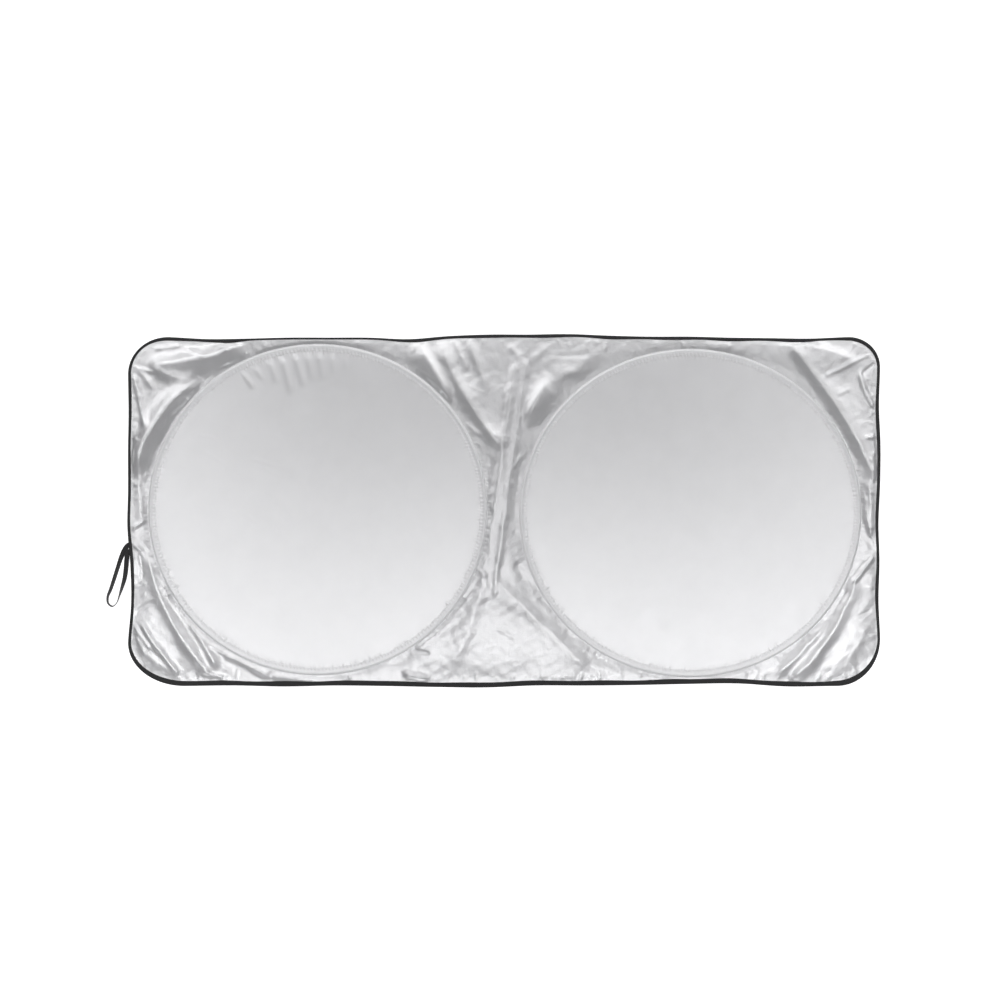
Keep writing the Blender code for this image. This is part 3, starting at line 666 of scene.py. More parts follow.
# %% From arrays to meshes
def set_mesh(name, points, faces):
    """A mesh object from arrays of points and of faces, shaded smooth."""
    mesh = bpy.data.meshes.new(name)
    mesh.from_pydata(points, [], faces)
    mesh.update()
    mesh.shade_smooth()
    piece = bpy.data.objects.new(name, mesh)
    bpy.context.collection.objects.link(piece)
    return piece


def face_outwards(piece):
    """Turns every face of a closed piece outwards."""
    bm = bmesh.new()
    bm.from_mesh(piece.data)
    bmesh.ops.recalc_face_normals(bm, faces=bm.faces)
    bm.to_mesh(piece.data)
    bm.free()


def thicken(piece, thickness):
    """Turns a single layer into a closed cloth by raising a copy of it and joining their rims."""
    bm = bmesh.new()
    bm.from_mesh(piece.data)
    lower = bm.faces[:]
    raised = bmesh.ops.extrude_face_region(bm, geom=lower, use_keep_orig=True)
    upper = [item for item in raised["geom"] if isinstance(item, bmesh.types.BMVert)]
    bmesh.ops.translate(bm, verts=upper, vec=(0, 0, thickness))
    bmesh.ops.recalc_face_normals(bm, faces=bm.faces)
    bm.to_mesh(piece.data)
    bm.free()
    piece.data.shade_smooth()
    piece.data.set_sharp_from_angle(angle=math.radians(60))


# %% [markdown]
# The points that are kept of each grid, and the rows along the seams, go to Blender's constrained
# Delaunay triangulation. It keeps the rows as edges.


# %% Make the cloth
def near_creases(points):
    """True where a crease inside the hoop is near."""
    found = np.zeros(len(points), bool)
    for x0, y0, x1, y1 in placed(PANEL_FOLDS)[:, :4]:
        start, way = np.array((x0, y0)), np.array((x1 - x0, y1 - y0))
        along = np.clip((points - start) @ way / (way @ way), 0, 1)
        found |= np.hypot(*(points - start - along[:, None] * way).T) < NEAR_CREASE
    return found


def sheet_plan():
    """The plan's points, the rows that must stay edges, and how many points its border has."""
    cut_edge = inset(OUTLINE, TAPE + SEAM_DEPTH)
    rings = list(HOOP_SEAMS.values())
    inner_rings = [hoop_ring(side, HOOP_POINTS // 2, -SLEEVE_INNER) for side in SIDES]
    fine = staggered(LOOSE_SPACING)
    keep = inside_loop(fine, TAPE_SEAM) & (outside_hoops(fine) > 0.6 * LOOSE_SPACING)
    in_panel = outside_wires(fine) < -SLEEVE_INNER - LOOSE_SPACING
    creased = fine[in_panel & near_creases(fine)]
    fine = fine[keep]
    fine = fine[distance_to_loop(fine, TAPE_SEAM[::2]) > 0.6 * LOOSE_SPACING]
    coarse = staggered(PANEL_SPACING)
    in_panel = outside_wires(coarse) < -SLEEVE_INNER - 0.5 * PANEL_SPACING
    coarse = coarse[in_panel & ~near_creases(coarse)]
    rows = [cut_edge, TAPE_SEAM, *rings, *inner_rings]
    sides, first = [], 0
    for row in rows:
        loop = list(range(first, first + len(row)))
        sides += zip(loop, loop[1:] + loop[:1])
        first += len(row)
    return np.vstack((*rows, fine, creased, coarse)), sides, len(cut_edge)


def make_sheet():
    """The plan's triangles, raised by the height formulas and then thickened."""
    plan, sides, border = sheet_plan()
    made = geometry.delaunay_2d_cdt([Vector(p) for p in plan], sides, [list(range(border))], 1, 1e-7)
    places, faces = np.array([tuple(p) for p in made[0]]), made[2]
    height = panel_height(places)
    loose = outside_hoops(places) > 1e-5
    height[loose] = cloth_height(places[loose])
    in_seam = distance_to_loop(places, inset(OUTLINE, TAPE + SEAM_DEPTH)) < 1e-5
    in_seam |= distance_to_loop(places, TAPE_SEAM) < 1e-5
    height[in_seam] = EDGE_LEVEL + edge_lift(places[in_seam])
    sheet = set_mesh("silver_cloth", np.column_stack((places, height)), faces)
    thicken(sheet, CLOTH)
    return sheet


sheet = make_sheet()
print("sheet", len(sheet.data.vertices), "points,", len(sheet.data.polygons), "faces")

# %% [markdown]
# ## Carrying a section along a line
#
# The sleeves, the tape and the strap are all one section carried along a line. Each point of a section
# is a distance from the line and a height, and both may change along the way. A curve object with a
# bevel could do it too, but not with a section that changes.


# %% Sweep and carry
def sweep(name, rings, closed=True):
    """A closed skin over rings of points, with a UV map in metres along and round the section."""
    steps, sides = rings.shape[:2]
    index = np.arange(steps * sides).reshape(steps, sides)
    ahead = np.roll(index, -1, axis=0) if closed else index[1:]
    here = index if closed else index[:-1]
    quads = np.stack((here, np.roll(here, -1, axis=1), np.roll(ahead, -1, axis=1), ahead), axis=-1)
    faces = quads.reshape(-1, 4).tolist()
    if not closed:
        faces += [index[0][::-1].tolist(), index[-1].tolist()]
    piece = set_mesh(name, rings.reshape(-1, 3), faces)
    step = np.linalg.norm(np.roll(rings, -1, axis=0)[:, 0] - rings[:, 0], axis=1)
    run = np.concatenate(((0,), np.cumsum(step)))
    side = np.linalg.norm(np.roll(rings, -1, axis=1) - rings, axis=2).mean(axis=0)
    round_it = np.concatenate(((0,), np.cumsum(side)))
    rows = len(here)
    u = np.stack((run[:rows], run[:rows], run[1 : rows + 1], run[1 : rows + 1]), axis=-1)
    v = np.stack((round_it[:-1], round_it[1:], round_it[1:], round_it[:-1]), axis=-1)
    flat = np.zeros((len(piece.data.loops), 2))
    flat[: rows * sides * 4, 0] = np.repeat(u[:, None, :], sides, axis=1).ravel()
    flat[: rows * sides * 4, 1] = np.repeat(v[None, :, :], rows, axis=0).ravel()
    layer = piece.data.uv_layers.new(name="along")
    layer.data.foreach_set("uv", flat.ravel())
    face_outwards(piece)
    return piece


def carry(name, line, out, section):
    """Each point of the section at every step: the line, moved outwards and up by the point's numbers."""
    count = len(line)
    offset = np.column_stack([np.broadcast_to(o, count) for o, _ in section])
    height = np.column_stack([np.broadcast_to(h, count) for _, h in section])
    flat = line[:, None, :] + out[:, None, :] * offset[:, :, None]
    return sweep(name, np.concatenate((flat, height[:, :, None]), axis=2))


# %% [markdown]
# ## The sleeves
#
# A strip of the same silver cloth goes over each wire. Its finish is duller, and its base colour is
# painted whiter than the sheet's, a painted highlight for the light that its slopes and puckers catch. It
# is stitched down inside the hoop, rises to the wire like the side of a tent, goes round it and is
# stitched down again just outside. Between the stitches it stands in small beads. It is pulled unevenly,
# so its height and its edges vary a little along the way, and it is lumpy where spare cloth was sewn in.

# %% Make the sleeves
SLEEVE_STEPS = 1800
BEAD_PITCH = 0.0074
BEAD_HEIGHT = 0.0009
FLANGE_GAP = 0.00006
# each lump: its place, as a fold's end, and its height
SLEEVE_LUMPS = ((-0.155, 0.620, 0.0011), (0.335, 0.897, 0.0010), (0.052, 0.200, 0.0006))
LUMP_REACH = 0.013


def round_wire(radius, degrees):
    """Points of a circle about the wire, each as an offset and a height."""
    return [(radius * math.cos(t), WIRE_HEIGHT + radius * math.sin(t)) for t in np.radians(degrees)]


def make_sleeve(side):
    """The section, as offsets from the wire and heights: up the tent, over the wire, and back under."""
    on_wire = hoop_ring(side, SLEEVE_STEPS)
    out = -inward_normals(on_wire)
    low = CLOTH + FLANGE_GAP
    top = low + CLOTH
    ferrule = np.array(bpy.data.objects[f"wire_ferrule_{side}"].bound_box).mean(axis=0)[:2]
    over_ferrule = smooth_step((0.019 - np.hypot(*(on_wire - ferrule).T)) / 0.006)
    pull, slow = wander(on_wire, 0.0045, seed=20), wander(on_wire, 0.05, seed=40)
    lump = np.zeros(SLEEVE_STEPS)
    for u, v, height in SLEEVE_LUMPS:
        middle = np.array((u * HALF_LENGTH, v * HALF_WIDTH)) + SHADE_MIDDLE
        lump += height * np.exp(-(((on_wire - middle) ** 2).sum(axis=1) / LUMP_REACH**2))
    inner = WIRE_RADIUS + CLEARANCE + (FERRULE_RADIUS - WIRE_RADIUS) * over_ferrule
    inner = inner + 0.0001 * (1 + pull) + 0.0001 * (1 + slow) + lump
    arch = inner + CLOTH
    run = np.arange(SLEEVE_STEPS) / SLEEVE_STEPS
    bead_count = round(2 * math.pi * left_reach / BEAD_PITCH)
    phase = 2 * math.pi * (bead_count * run + 0.22 * wander(on_wire, 0.02, seed=90))
    bead = BEAD_HEIGHT * (0.5 - 0.5 * np.cos(phase)) * (0.8 + 0.3 * wander(on_wire, 0.02, seed=91))
    puff = 0.0001 + 0.00006 * slow + 0.25 * lump
    edge = -SLEEVE_INNER + 0.0004 * np.cos(phase) + 0.0002 * pull
    over = round_wire(arch, np.linspace(118, 50, 7))
    under = round_wire(inner, np.linspace(50, 118, 6))
    tent = 0.32 * (WIRE_HEIGHT + inner)
    section = [(edge, low), (edge + 0.0001, top), (-0.0088, top + 0.5 * bead)]
    section += [(-0.0076, top + puff + bead), (-0.0062, top + puff + 0.9 * bead)]
    section += [(-0.0048, top + 0.5 * tent + 0.7 * bead), (-0.0030, top + 1.25 * tent + 0.3 * bead)]
    section += [*over, (SLEEVE_OUTER - 0.0004, top + 0.25 * bead), (SLEEVE_OUTER, low)]
    section += [(SLEEVE_OUTER - 0.0012, low), *under, (-0.0031, low + 1.25 * tent + 0.3 * bead)]
    section += [(-0.0050, low + 0.5 * tent + 0.7 * bead), (-0.0068, low + 0.8 * bead)]
    sleeve = carry(f"sleeve_cloth_{side}", on_wire, out, section)
    sleeve.data.set_sharp_from_angle(angle=math.radians(42))
    return sleeve


sleeves = {side: make_sleeve(side) for side in SIDES}
print("sleeve steps", SLEEVE_STEPS, "of", round(2 * math.pi * left_reach / SLEEVE_STEPS * 1000, 2), "mm")

# %% [markdown]
# ## The binding
#
# Black tape is folded over the cut edge. Its front and back legs are as wide as the hoops leave room
# for, and its fold is round.

# %% Make the binding
TAPE_TOP = EDGE_LEVEL + CLOTH + CLEARANCE + TAPE


def make_binding():
    """The section, given as depths from the edge and heights: a half circle for the fold, and two legs."""
    into, lift = inward_normals(OUTLINE), edge_lift(OUTLINE)
    front = front_leg(OUTLINE)
    back = tape_width(OUTLINE, TAPE_BACK)
    fold = [
        (TAPE_TOP / 2 * (1 - math.cos(t)), lift + TAPE_TOP / 2 * (1 + math.sin(t)))
        for t in np.radians(np.linspace(-90, 90, 7))
    ]
    uneven = 0.00012 * wander(OUTLINE, 0.006, seed=61)
    inside = TAPE + CLEARANCE
    section = [(back, lift), *fold, (0.5 * front, lift + TAPE_TOP + 0.0001 + uneven)]
    section += [(front, lift + TAPE_TOP), (front, lift + TAPE_TOP - TAPE)]
    section += [(inside, lift + TAPE_TOP - TAPE), (inside, lift + TAPE), (back, lift + TAPE)]
    binding = carry("binding_tape", OUTLINE, into, section)
    binding.data.set_sharp_from_angle(angle=math.radians(50))
    return binding


binding = make_binding()
print("binding", len(binding.data.polygons), "faces")

# %% [markdown]
# ## The elastic strap
#
# A flat woven band makes a long loop out from under the tape. It lies flat where it is sewn and stands
# on its edge round the end of the loop. Its section turns with the tilt: a point $w$ across and $u$ up
# moves by $w\cos t - u\sin t$ sideways and $w\sin t + u\cos t$ up.

# %% Make the strap
STRAP_STEPS = 150


def make_strap():
    """A flat section with rounded edges along a smooth route, turned by the tilt at each step."""
    route = np.array(STRAP_ROUTE)
    share = np.linspace(0, 1, STRAP_STEPS + 1)
    x, y, tilt = (smooth_through(route[:, k], share) for k in range(3))
    line = ROOT + np.column_stack((x, y))
    way = np.gradient(line, axis=0)
    way /= np.linalg.norm(way, axis=1)[:, None]
    across = np.column_stack((way[:, 1], -way[:, 0]))
    half, thin, edge = STRAP_WIDTH / 2, STRAP_THICKNESS / 2, 0.0004
    wide = np.array((half - edge, half / 2, 0, -half / 2, -half + edge, -half, -half))
    wide = np.concatenate((wide, -wide))
    up = np.array((thin, thin, thin, thin, thin, thin - edge, edge - thin))
    up = np.concatenate((up, -up))
    cos, sin = np.cos(np.radians(tilt))[:, None], np.sin(np.radians(tilt))[:, None]
    rise = half * np.abs(sin) + thin * cos + CLEARANCE / 2
    sideways = wide * cos - up * sin
    flat = line[:, None, :] + across[:, None, :] * sideways[:, :, None]
    height = rise + wide * sin + up * cos
    return sweep("strap_elastic", np.concatenate((flat, height[:, :, None]), axis=2), closed=False)


strap = make_strap()
print("strap", len(strap.data.polygons), "faces")

# %% [markdown]
# ## Stitches
#
# Every seam shows its thread as short dashes: two rows on each sleeve and one row on the tape. Each
# dash is a small spindle that rises out of the cloth and goes back in. There are thousands of them, so
# a dash has only five rings of six points. One array holds a dash, and it is copied along the seam.

# %% One dash
DASH_RINGS = 5
DASH_SIDES = 6
SLEEVE_ROWS = (-0.0084, 0.0039)
SLEEVE_PITCH = 0.0046
TAPE_ROW = 0.0014
TAPE_PITCH = 0.0040


def dash(length, radius):
    """A spindle: the ring at share s is at s along, radius*sqrt(1-s^2) wide, and raised by 1-s^2."""
    share = np.sin(np.linspace(-1, 1, DASH_RINGS) * 1.42)
    around = 2 * math.pi * np.arange(DASH_SIDES) / DASH_SIDES
    wide = radius * np.sqrt(1 - share**2)[:, None]
    along = np.repeat(share[:, None] * length / 2, DASH_SIDES, axis=1)
    aside = wide * np.cos(around)
    up = wide * np.sin(around) + 0.5 * radius * (1 - share**2)[:, None]
    return np.stack((along, aside, up), axis=-1).reshape(-1, 3)


def dash_faces():
    """The squares between the dash's rings, and its two end caps."""
    index = np.arange(DASH_RINGS * DASH_SIDES).reshape(DASH_RINGS, DASH_SIDES)
    turned = np.roll(index, -1, axis=1)
    quads = np.stack((index[:-1], index[1:], turned[1:], turned[:-1]), axis=-1).reshape(-1, 4)
    return quads, np.stack((index[0], index[-1][::-1]))


# %% [markdown]
# A row walks along its seam at an even pitch, with a little unevenness from a seeded generator.


# %% Make the stitches
def stitch_row(seam, height, pitch, seed):
    """The middles and directions of a row's dashes along a closed line, the pitch apart."""
    loop = np.column_stack((seam, np.broadcast_to(height, len(seam))))
    loop = np.vstack((loop, loop[:1]))
    run = np.concatenate(((0,), np.cumsum(np.linalg.norm(np.diff(loop, axis=0), axis=1))))
    count = round(run[-1] / pitch)
    jitter = np.random.default_rng(seed).uniform(-0.06, 0.06, count)
    at = (np.arange(count) + 0.5 + jitter) * run[-1] / count
    middle = np.column_stack([np.interp(at, run, loop[:, k]) for k in range(3)])
    ahead = np.column_stack([np.interp(at + pitch / 4, run, loop[:, k]) for k in range(3)])
    back = np.column_stack([np.interp(at - pitch / 4, run, loop[:, k]) for k in range(3)])
    way = ahead - back
    return middle, way / np.linalg.norm(way, axis=1)[:, None]


def make_stitches(name, rows, length, radius):
    """Copies the dash to every place of the rows: middle + along*way + aside*side + up*(0, 0, 1)."""
    middle = np.vstack([row[0] for row in rows])
    way = np.vstack([row[1] for row in rows])
    side = np.column_stack((-way[:, 1], way[:, 0], np.zeros(len(way))))
    one = dash(length, radius)
    points = middle[:, None, :] + way[:, None, :] * one[:, 0:1] + side[:, None, :] * one[:, 1:2]
    points[:, :, 2] += one[:, 2]
    quads, caps = dash_faces()
    first = (np.arange(len(middle)) * len(one))[:, None, None]
    faces = (quads[None] + first).reshape(-1, 4).tolist()
    faces += (caps[None] + first).reshape(-1, DASH_SIDES).tolist()
    piece = set_mesh(name, points.reshape(-1, 3), faces)
    face_outwards(piece)
    return piece


def hoop_stitches(side):
    """Two rows on a sleeve: one on its inner flange and one outside the wire."""
    flange = 2 * CLOTH + 0.0001
    inner, outer = (hoop_ring(side, 720, offset) for offset in SLEEVE_ROWS)
    inner = stitch_row(inner, flange + 0.0002, SLEEVE_PITCH, seed=11)
    outer = stitch_row(outer, flange + 0.0003, SLEEVE_PITCH, seed=12)
    return make_stitches(f"sleeve_stitches_{side}", (inner, outer), length=0.0032, radius=0.00036)


def tape_stitches():
    """One row near the inner edge of the tape's front."""
    seam = inset(OUTLINE, front_leg(OUTLINE) - TAPE_ROW)
    row = stitch_row(seam, edge_lift(OUTLINE) + TAPE_TOP, TAPE_PITCH, seed=13)
    return make_stitches("tape_stitches", (row,), length=0.0028, radius=0.00026)


threads = {side: hoop_stitches(side) for side in SIDES}
tape_thread = tape_stitches()
for piece in (*threads.values(), tape_thread):
    print(piece.name, len(piece.data.polygons), "faces")

# %% [markdown]
# ## Riding on the model
#
# The shade has no joints, so everything rides on the one body. The fine pieces stand for the coarse
# solids. The wires and their ferrules keep the model's shape and get a better material.

# %% Rides and replaced nodes
pieces = [sheet, *sleeves.values(), binding, strap, *threads.values(), tape_thread]
for piece in pieces:
    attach(piece, "root")
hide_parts("silver_sheet")
for side in SIDES:
    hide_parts(f"hoop_sleeve_{side}")
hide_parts("edge_binding")
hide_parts("elastic_strap")

# %% [markdown]
# ## Writing shaders as sums
#
# A node tree for a woven surface is mostly arithmetic. The class below wraps a socket, so that a sum of
# such values adds its own Math nodes and reads like the formula. Other nodes come from one function.


# %% Sockets that can be added
class Value:
    """A shader socket that can be added, multiplied and so on."""

    def __init__(self, tree, socket):
        self.tree, self.socket = tree, socket

    def math(self, operation, *others):
        return node(self.tree, "ShaderNodeMath", {"operation": operation}, self, *others)

    def __add__(self, other):
        return self.math("ADD", other)

    def __sub__(self, other):
        return self.math("SUBTRACT", other)

    def __rsub__(self, other):
        return node(self.tree, "ShaderNodeMath", {"operation": "SUBTRACT"}, other, self)

    def __mul__(self, other):
        return self.math("MULTIPLY", other)

    def __truediv__(self, other):
        return self.math("DIVIDE", other)

    def __pow__(self, other):
        return self.math("POWER", other)

    __radd__ = __add__
    __rmul__ = __mul__


def node(tree, kind, settings, *values, out=0, **named):
    """Adds a node: first its settings, then its sockets in order or by name. Returns one output."""
    made = tree.nodes.new(kind)
    for key, setting in settings.items():
        setattr(made, key, setting)
    pairs = list(zip(made.inputs, values)) + [(made.inputs[key], value) for key, value in named.items()]
    for socket, value in pairs:
        if isinstance(value, Value):
            tree.links.new(value.socket, socket)
        else:
            socket.default_value = value
    return Value(tree, made.outputs[out])


# %% [markdown]
# Every finish starts from one Principled shader. A number or a colour that is the same all over is set
# on it, and what changes over the surface is fed to it.


# %% Helpers for materials
def new_material(name, colour, roughness, metallic=0.0):
    """A material, its node tree and its shader, with the values that are the same all over."""
    material = bpy.data.materials.new(name)
    material.use_nodes = True
    shader = material.node_tree.nodes["Principled BSDF"]
    shader.inputs["Base Color"].default_value = (*colour, 1)
    shader.inputs["Roughness"].default_value = roughness
    shader.inputs["Metallic"].default_value = metallic
    return material, material.node_tree, shader


def feed(value, shader, name):
    """Links a value to one of the shader's sockets."""
    value.tree.links.new(value.socket, shader.inputs[name])


def with_parts(tree, spot):
    """A point, and its first and second coordinate."""
    parts = node(tree, "ShaderNodeSeparateXYZ", {}, spot).socket.node
    return spot, Value(tree, parts.outputs[0]), Value(tree, parts.outputs[1])


def place(tree):
    """The point on the object, in metres, and its x and y."""
    return with_parts(tree, node(tree, "ShaderNodeTexCoord", {}, out="Object"))


def along_across(tree):
    """The same of the swept pieces' own UV map: metres along, and metres round the section."""
    return with_parts(tree, node(tree, "ShaderNodeUVMap", {"uv_map": "along"}))


def noise_at(tree, spot, per_metre, detail=2.0, roughness=0.5):
    """Noise from 0 to 1 with features about 1/per_metre wide."""
    values = {"Scale": per_metre, "Detail": detail, "Roughness": roughness}
    return node(tree, "ShaderNodeTexNoise", {}, Vector=spot, **values)


def wave(value, length):
    """sin(2 pi x / length)"""
    return (value * (2 * math.pi / length)).math("SINE")


def tint(amount, dark, light, shader):
    """Feeds the base colour with one between two, by an amount from 0 to 1."""
    mixed = node(amount.tree, "ShaderNodeMix", {"data_type": "RGBA"}, out=2)
    mixer = mixed.socket.node
    factor, first, second = mixer.inputs[0], mixer.inputs[6], mixer.inputs[7]
    first.default_value = (*dark, 1)
    second.default_value = (*light, 1)
    amount.tree.links.new(amount.socket, factor)
    feed(mixed, shader, "Base Color")


def relief(height, shader):
    """Feeds the normal with a height in metres."""
    bump = node(height.tree, "ShaderNodeBump", {}, Strength=1.0, Distance=1.0, Height=height)
    feed(bump, shader, "Normal")


# %% [markdown]
# ## The silver finish
#
# The cloth is thin polyester with a sprayed metal coat. It mirrors the room softly: nearly metal, but
# rough. Its relief is a sum of four parts: a fine plain weave, the crumple of the loose cloth, a slow
# unevenness, and puckers that run square to each hoop's seam. For the puckers the point's angle
# $\theta$ round the hoop is turned into a place on a ring, and the distance $d$ from the wire is
# squeezed, so that the noise is drawn out across the seam.


# %% Silver
RING_RADIUS = 0.34
SQUEEZE = 0.12
WEAVE_PITCH = 0.0007
WEAVE_DEPTH = 0.000012


def hoop_values(tree, x, y, side):
    """How far a point is outside a hoop's wire, and noise drawn out across its seam."""
    middle, a, b = HOOPS[side]
    u, v = (x - float(middle[0])) / float(a), (y - float(middle[1])) / float(b)
    size = (u * u + v * v) ** 0.5
    outside = (size - 1.0) * float((a + b) / 2)
    turn = v.math("ARCTAN2", u)
    on_ring = (turn.math("COSINE") * RING_RADIUS, turn.math("SINE") * RING_RADIUS, outside * SQUEEZE)
    ring = node(tree, "ShaderNodeCombineXYZ", {}, *on_ring)
    return outside, noise_at(tree, ring, 150.0, 1.0) - 0.5


def band(value, middle, width):
    """A bell over a value: 1 at the middle, nearly 0 two widths away."""
    off = (value - middle) / width
    return (0 - off * off).math("EXPONENT")


def seam_bells(outside):
    """The two bells along a sleeve's inner and outer seam."""
    return band(outside, -0.0115, 0.0045) + band(outside, 0.0065, 0.004)


def weave(x, y, pitch):
    """A plain weave: sin x sin y, one thread over and one under."""
    return wave(x, 2 * pitch) * wave(y, 2 * pitch)


# %% [markdown]
# The same function makes the sheet's cloth and the sleeves' duller one, whose base colour is painted
# whiter as a painted highlight.


# %% Make the silver cloths
def make_silver(name, colour, metallic, roughness, pucker_depth):
    """Metal-coated cloth: the four parts of its relief, and a slow change of tone and gloss."""
    material, tree, shader = new_material(name, colour, roughness, metallic)
    spot, x, y = place(tree)
    left, left_noise = hoop_values(tree, x, y, "left")
    right, right_noise = hoop_values(tree, x, y, "right")
    outside = left.math("MINIMUM", right)
    loose = ((outside - 0.006) / 0.01).math("MAXIMUM", 0.0).math("MINIMUM", 1.0)
    edges = {"feature": "DISTANCE_TO_EDGE"}
    facets = node(tree, "ShaderNodeTexVoronoi", edges, Vector=spot, Scale=34.0, Randomness=1.0)
    crumple = noise_at(tree, spot, 42.0, 2.0)
    folded = noise_at(tree, spot, 120.0, 2.0) * 0.0001 + facets * 0.0006 + crumple * 0.0005
    left_pucker = left_noise * seam_bells(left)
    right_pucker = right_noise * seam_bells(right)
    woven = weave(x, y, WEAVE_PITCH) * WEAVE_DEPTH
    slow = noise_at(tree, spot, 11.0, 1.0) * 0.0005
    relief(woven + folded * loose + slow + (left_pucker + right_pucker) * pucker_depth, shader)
    cloud = noise_at(tree, spot, 22.0, 3.0)
    tint(cloud, tuple(0.93 * c for c in colour), colour, shader)
    feed(roughness + cloud * 0.04, shader, "Roughness")
    return material


silver = make_silver("silver_coated_cloth", (0.83, 0.83, 0.84), 0.85, 0.32, 0.0011)
# The sleeves' base colour is painted whiter than the sheet's: a painted highlight for the light their
# slopes and puckers catch.
sleeve_silver_painted_bright = make_silver("silver_sleeve_painted_bright", (0.97, 0.97, 0.98), 0.25, 0.42, 0.0010)


# %% [markdown]
# ## Black tape and black elastic
#
# The tape is a shiny polyester ribbon with fine ribs across it and a few ridges along it. The elastic is
# duller, with rubber threads that show as lengthwise ribs, crossed by the yarn that covers them.


# %% Tape, elastic and thread
def make_tape():
    """Ribbon: fine ribs across it, a few ridges along it, a little fluff, and painted shade in the ribs'
    grooves.
    """
    material, tree, shader = new_material("black_ribbon_tape", (0.010, 0.010, 0.011), 0.5)
    spot, along, across = along_across(tree)
    ribs = wave(along, 0.0009)
    ridges = wave(across, 0.0022)
    fluff = noise_at(tree, spot, 260.0, 3.0)
    relief(ribs * 0.00003 + ridges * 0.00004 + fluff * 0.0001, shader)
    # The tone varies at random with the fluff and is darker in the grooves between the ribs, which is
    # painted shade.
    tint(fluff * 0.6 + ribs * 0.15 + 0.2, (0.005, 0.005, 0.006), (0.014, 0.014, 0.015), shader)
    feed(0.42 + fluff * 0.2, shader, "Roughness")
    shader.inputs["Sheen Weight"].default_value = 0.06
    return material


def make_elastic():
    """Elastic: lengthwise ribs of rubber, and the yarn that crosses them, with painted shade in their
    grooves.
    """
    material, tree, shader = new_material("black_woven_elastic", (0.012, 0.012, 0.013), 0.8)
    spot, along, across = along_across(tree)
    ribs = wave(across, 0.0012)
    yarn = wave(along, 0.0008) * wave(across, 0.0024)
    fluff = noise_at(tree, spot, 500.0, 2.0)
    relief(ribs * 0.00012 + yarn * 0.00005 + fluff * 0.00005, shader)
    # The tone is darker in the grooves between the ribs and the yarn, which is painted shade, and varies
    # at random with the fluff.
    shade = ribs * 0.25 + yarn * 0.15 + fluff * 0.4 + 0.2
    tint(shade, (0.007, 0.007, 0.008), (0.028, 0.028, 0.030), shader)
    feed(0.68 + fluff * 0.2, shader, "Roughness")
    shader.inputs["Sheen Weight"].default_value = 0.3
    return material


def make_thread(name, dark, light):
    """Thread: three plies, which show as slanting stripes of relief and of painted shade in their grooves.
    """
    material, tree, shader = new_material(name, light, 0.55)
    _, x, y = place(tree)
    plies = wave(x + y, 0.0006)
    relief(plies * 0.00004, shader)
    # The tint darkens the grooves between the plies: painted shade.
    tint(plies * 0.5 + 0.5, dark, light, shader)
    shader.inputs["Sheen Weight"].default_value = 0.2
    return material


# %% [markdown]
# ## Spring steel and zinc
#
# The wires are hardened steel with faint drawing lines along them, and the ferrules that join their ends
# are zinc-plated. Both are inside the sleeves, but they are finished all the same.


# %% Metal, and every piece's finish
def make_metal(name, dark, light, roughness, per_metre):
    """Metal with fine streaks in its tone, its gloss and its relief."""
    material, tree, shader = new_material(name, light, roughness, 1.0)
    spot, _, _ = place(tree)
    streaks = noise_at(tree, spot, per_metre, 4.0, 0.6)
    tint(streaks, dark, light, shader)
    feed(roughness - 0.08 + streaks * 0.16, shader, "Roughness")
    relief(streaks * 0.00002, shader)
    return material


finishes = {
    "binding": make_tape(),
    "strap": make_elastic(),
    "grey_thread": make_thread("grey_thread", (0.62, 0.62, 0.63), (0.88, 0.88, 0.89)),
    "black_thread": make_thread("black_thread", (0.012, 0.012, 0.013), (0.045, 0.045, 0.048)),
    "steel": make_metal("spring_steel_wire", (0.30, 0.30, 0.32), (0.48, 0.48, 0.50), 0.32, 900.0),
    "zinc": make_metal("zinc_plate", (0.50, 0.51, 0.53), (0.68, 0.69, 0.71), 0.30, 400.0),
}
sheet.data.materials.append(silver)
binding.data.materials.append(finishes["binding"])
strap.data.materials.append(finishes["strap"])
tape_thread.data.materials.append(finishes["black_thread"])
for side in SIDES:
    sleeves[side].data.materials.append(sleeve_silver_painted_bright)
    threads[side].data.materials.append(finishes["grey_thread"])
    for kept, finish in ((f"hoop_wire_{side}", "steel"), (f"wire_ferrule_{side}", "zinc")):
        for slot in bpy.data.objects[kept].material_slots:
            slot.material = finishes[finish]
print("materials", len(bpy.data.materials))

# %% [markdown]
# ## Floor, light and camera
#
# The floor is white. It shines only for the camera's own rays and for the ones that metal mirrors, so it
# adds no light to the object. A mirror-like cloth shows what it faces. A row of cards overhead, each
# gridded so that its light falls straight down, gives the flat panels their grey, lighter towards the
# bottom edge. Walls of light beyond the top edge and at the sides pick out the slopes that face them,
# and slopes that face the bottom edge stay darker.

# %% Stage
FRAME_WIDTH = 1.995
CAMERA_HEIGHT = 4.6
CAMERA_SHIFT = (-0.008, 0.023)
FLOOR_WHITE = 0.75
FLOOR_SIZE = 80
CARD_HEIGHT = 3.0
CARD_SPREAD = 28
WORLD = (0.20, 0.20, 0.205, 1)


def make_stage():
    """A plane under the shade, which looks white and still shows the shadow."""
    bpy.ops.mesh.primitive_plane_add(size=FLOOR_SIZE, location=(0, 0, -0.0002))
    floor = bpy.context.object
    floor.name = "floor"
    material, tree, shader = new_material("floor_white", (0.95, 0.95, 0.95), 1.0)
    shader.inputs["Specular IOR Level"].default_value = 0
    shader.inputs["Emission Strength"].default_value = FLOOR_WHITE
    path = node(tree, "ShaderNodeLightPath", {}).socket.node
    kinds = ("Camera", "Glossy", "Transmission")
    camera, glossy, transmission = (Value(tree, path.outputs[f"Is {kind} Ray"]) for kind in kinds)
    feed(camera + glossy + transmission, shader, "Emission Color")
    floor.data.materials.append(material)


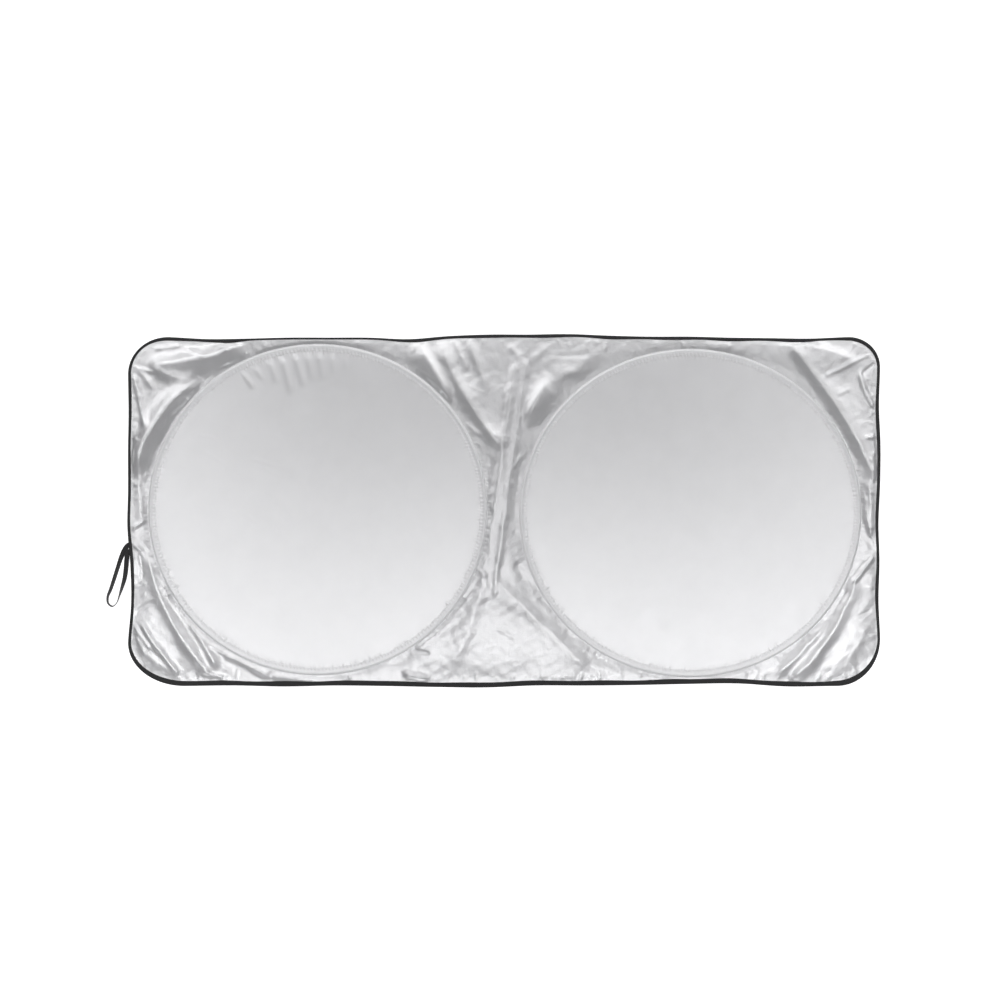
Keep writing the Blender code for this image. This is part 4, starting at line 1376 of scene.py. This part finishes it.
# %% Lights
def soft_light(name, stand, aim, size, power, spread=180):
    """A rectangular light, turned to face its aim and hidden from the camera."""
    data = bpy.data.lights.new(name, "AREA")
    data.shape = "RECTANGLE"
    data.size, data.size_y = size
    data.energy = power
    data.spread = math.radians(spread)
    light = bpy.data.objects.new(name, data)
    light.location = stand
    light.rotation_euler = (Vector(aim) - Vector(stand)).to_track_quat("-Z", "Y").to_euler()
    light.visible_camera = False
    bpy.context.collection.objects.link(light)


def card(name, x, y, size, power):
    """A card overhead, gridded to shine straight down."""
    soft_light(name, (x, y, CARD_HEIGHT), (x, y, 0), size, power, CARD_SPREAD)


def make_light():
    """The cards overhead, the walls at the sides, behind and in front, and a dim room."""
    card("over_bottom", 0, -0.8, (5.0, 0.3), 0.63)
    card("over_low", 0, -0.4, (5.0, 0.3), 0.65)
    card("over_middle", 0, 0, (5.0, 0.3), 0.28)
    for end, low, high in ((-1.15, 0.36, 0.25), (1.15, 0.46, 0.18)):
        card("over_end_low", end, -0.7, (0.7, 0.6), low)
        card("over_end_high", end, 0, (0.7, 0.6), high)
        soft_light("side", (1.7 * end, 0.7, 2.3), (0, 0, 0), (1.6, 0.8), 3.4)
    soft_light("back_high", (0, 1.12, 2.78), (0, 0, 0), (5.0, 0.6), 12.5)
    soft_light("back_wall", (0, 1.93, 2.3), (0, 0, 0), (5.0, 0.6), 22)
    soft_light("back_low", (0, 2.7, 0.9), (0, 0, 0.2), (5.0, 1.4), 22)
    soft_light("front_wall", (0, -2.5, 1.7), (0, 0, 0), (5.0, 0.8), 20)
    soft_light("front_low", (0, -2.7, 0.9), (0, 0, 0.2), (5.0, 1.4), 6)
    world = bpy.data.worlds.new("studio")
    world.use_nodes = True
    world.node_tree.nodes["Background"].inputs["Color"].default_value = WORLD
    bpy.context.scene.world = world


# %% Camera
def make_camera():
    """Straight above, at the focal length that frames the given width."""
    data = bpy.data.cameras.new("camera")
    camera = bpy.data.objects.new("camera", data)
    data.sensor_width = 36
    data.lens = 36 * CAMERA_HEIGHT / FRAME_WIDTH
    camera.location = (*(SHADE_MIDDLE + CAMERA_SHIFT), CAMERA_HEIGHT)
    bpy.context.collection.objects.link(camera)
    bpy.context.scene.camera = camera


make_stage()
make_light()
make_camera()
bpy.context.scene.view_settings.view_transform = "Standard"
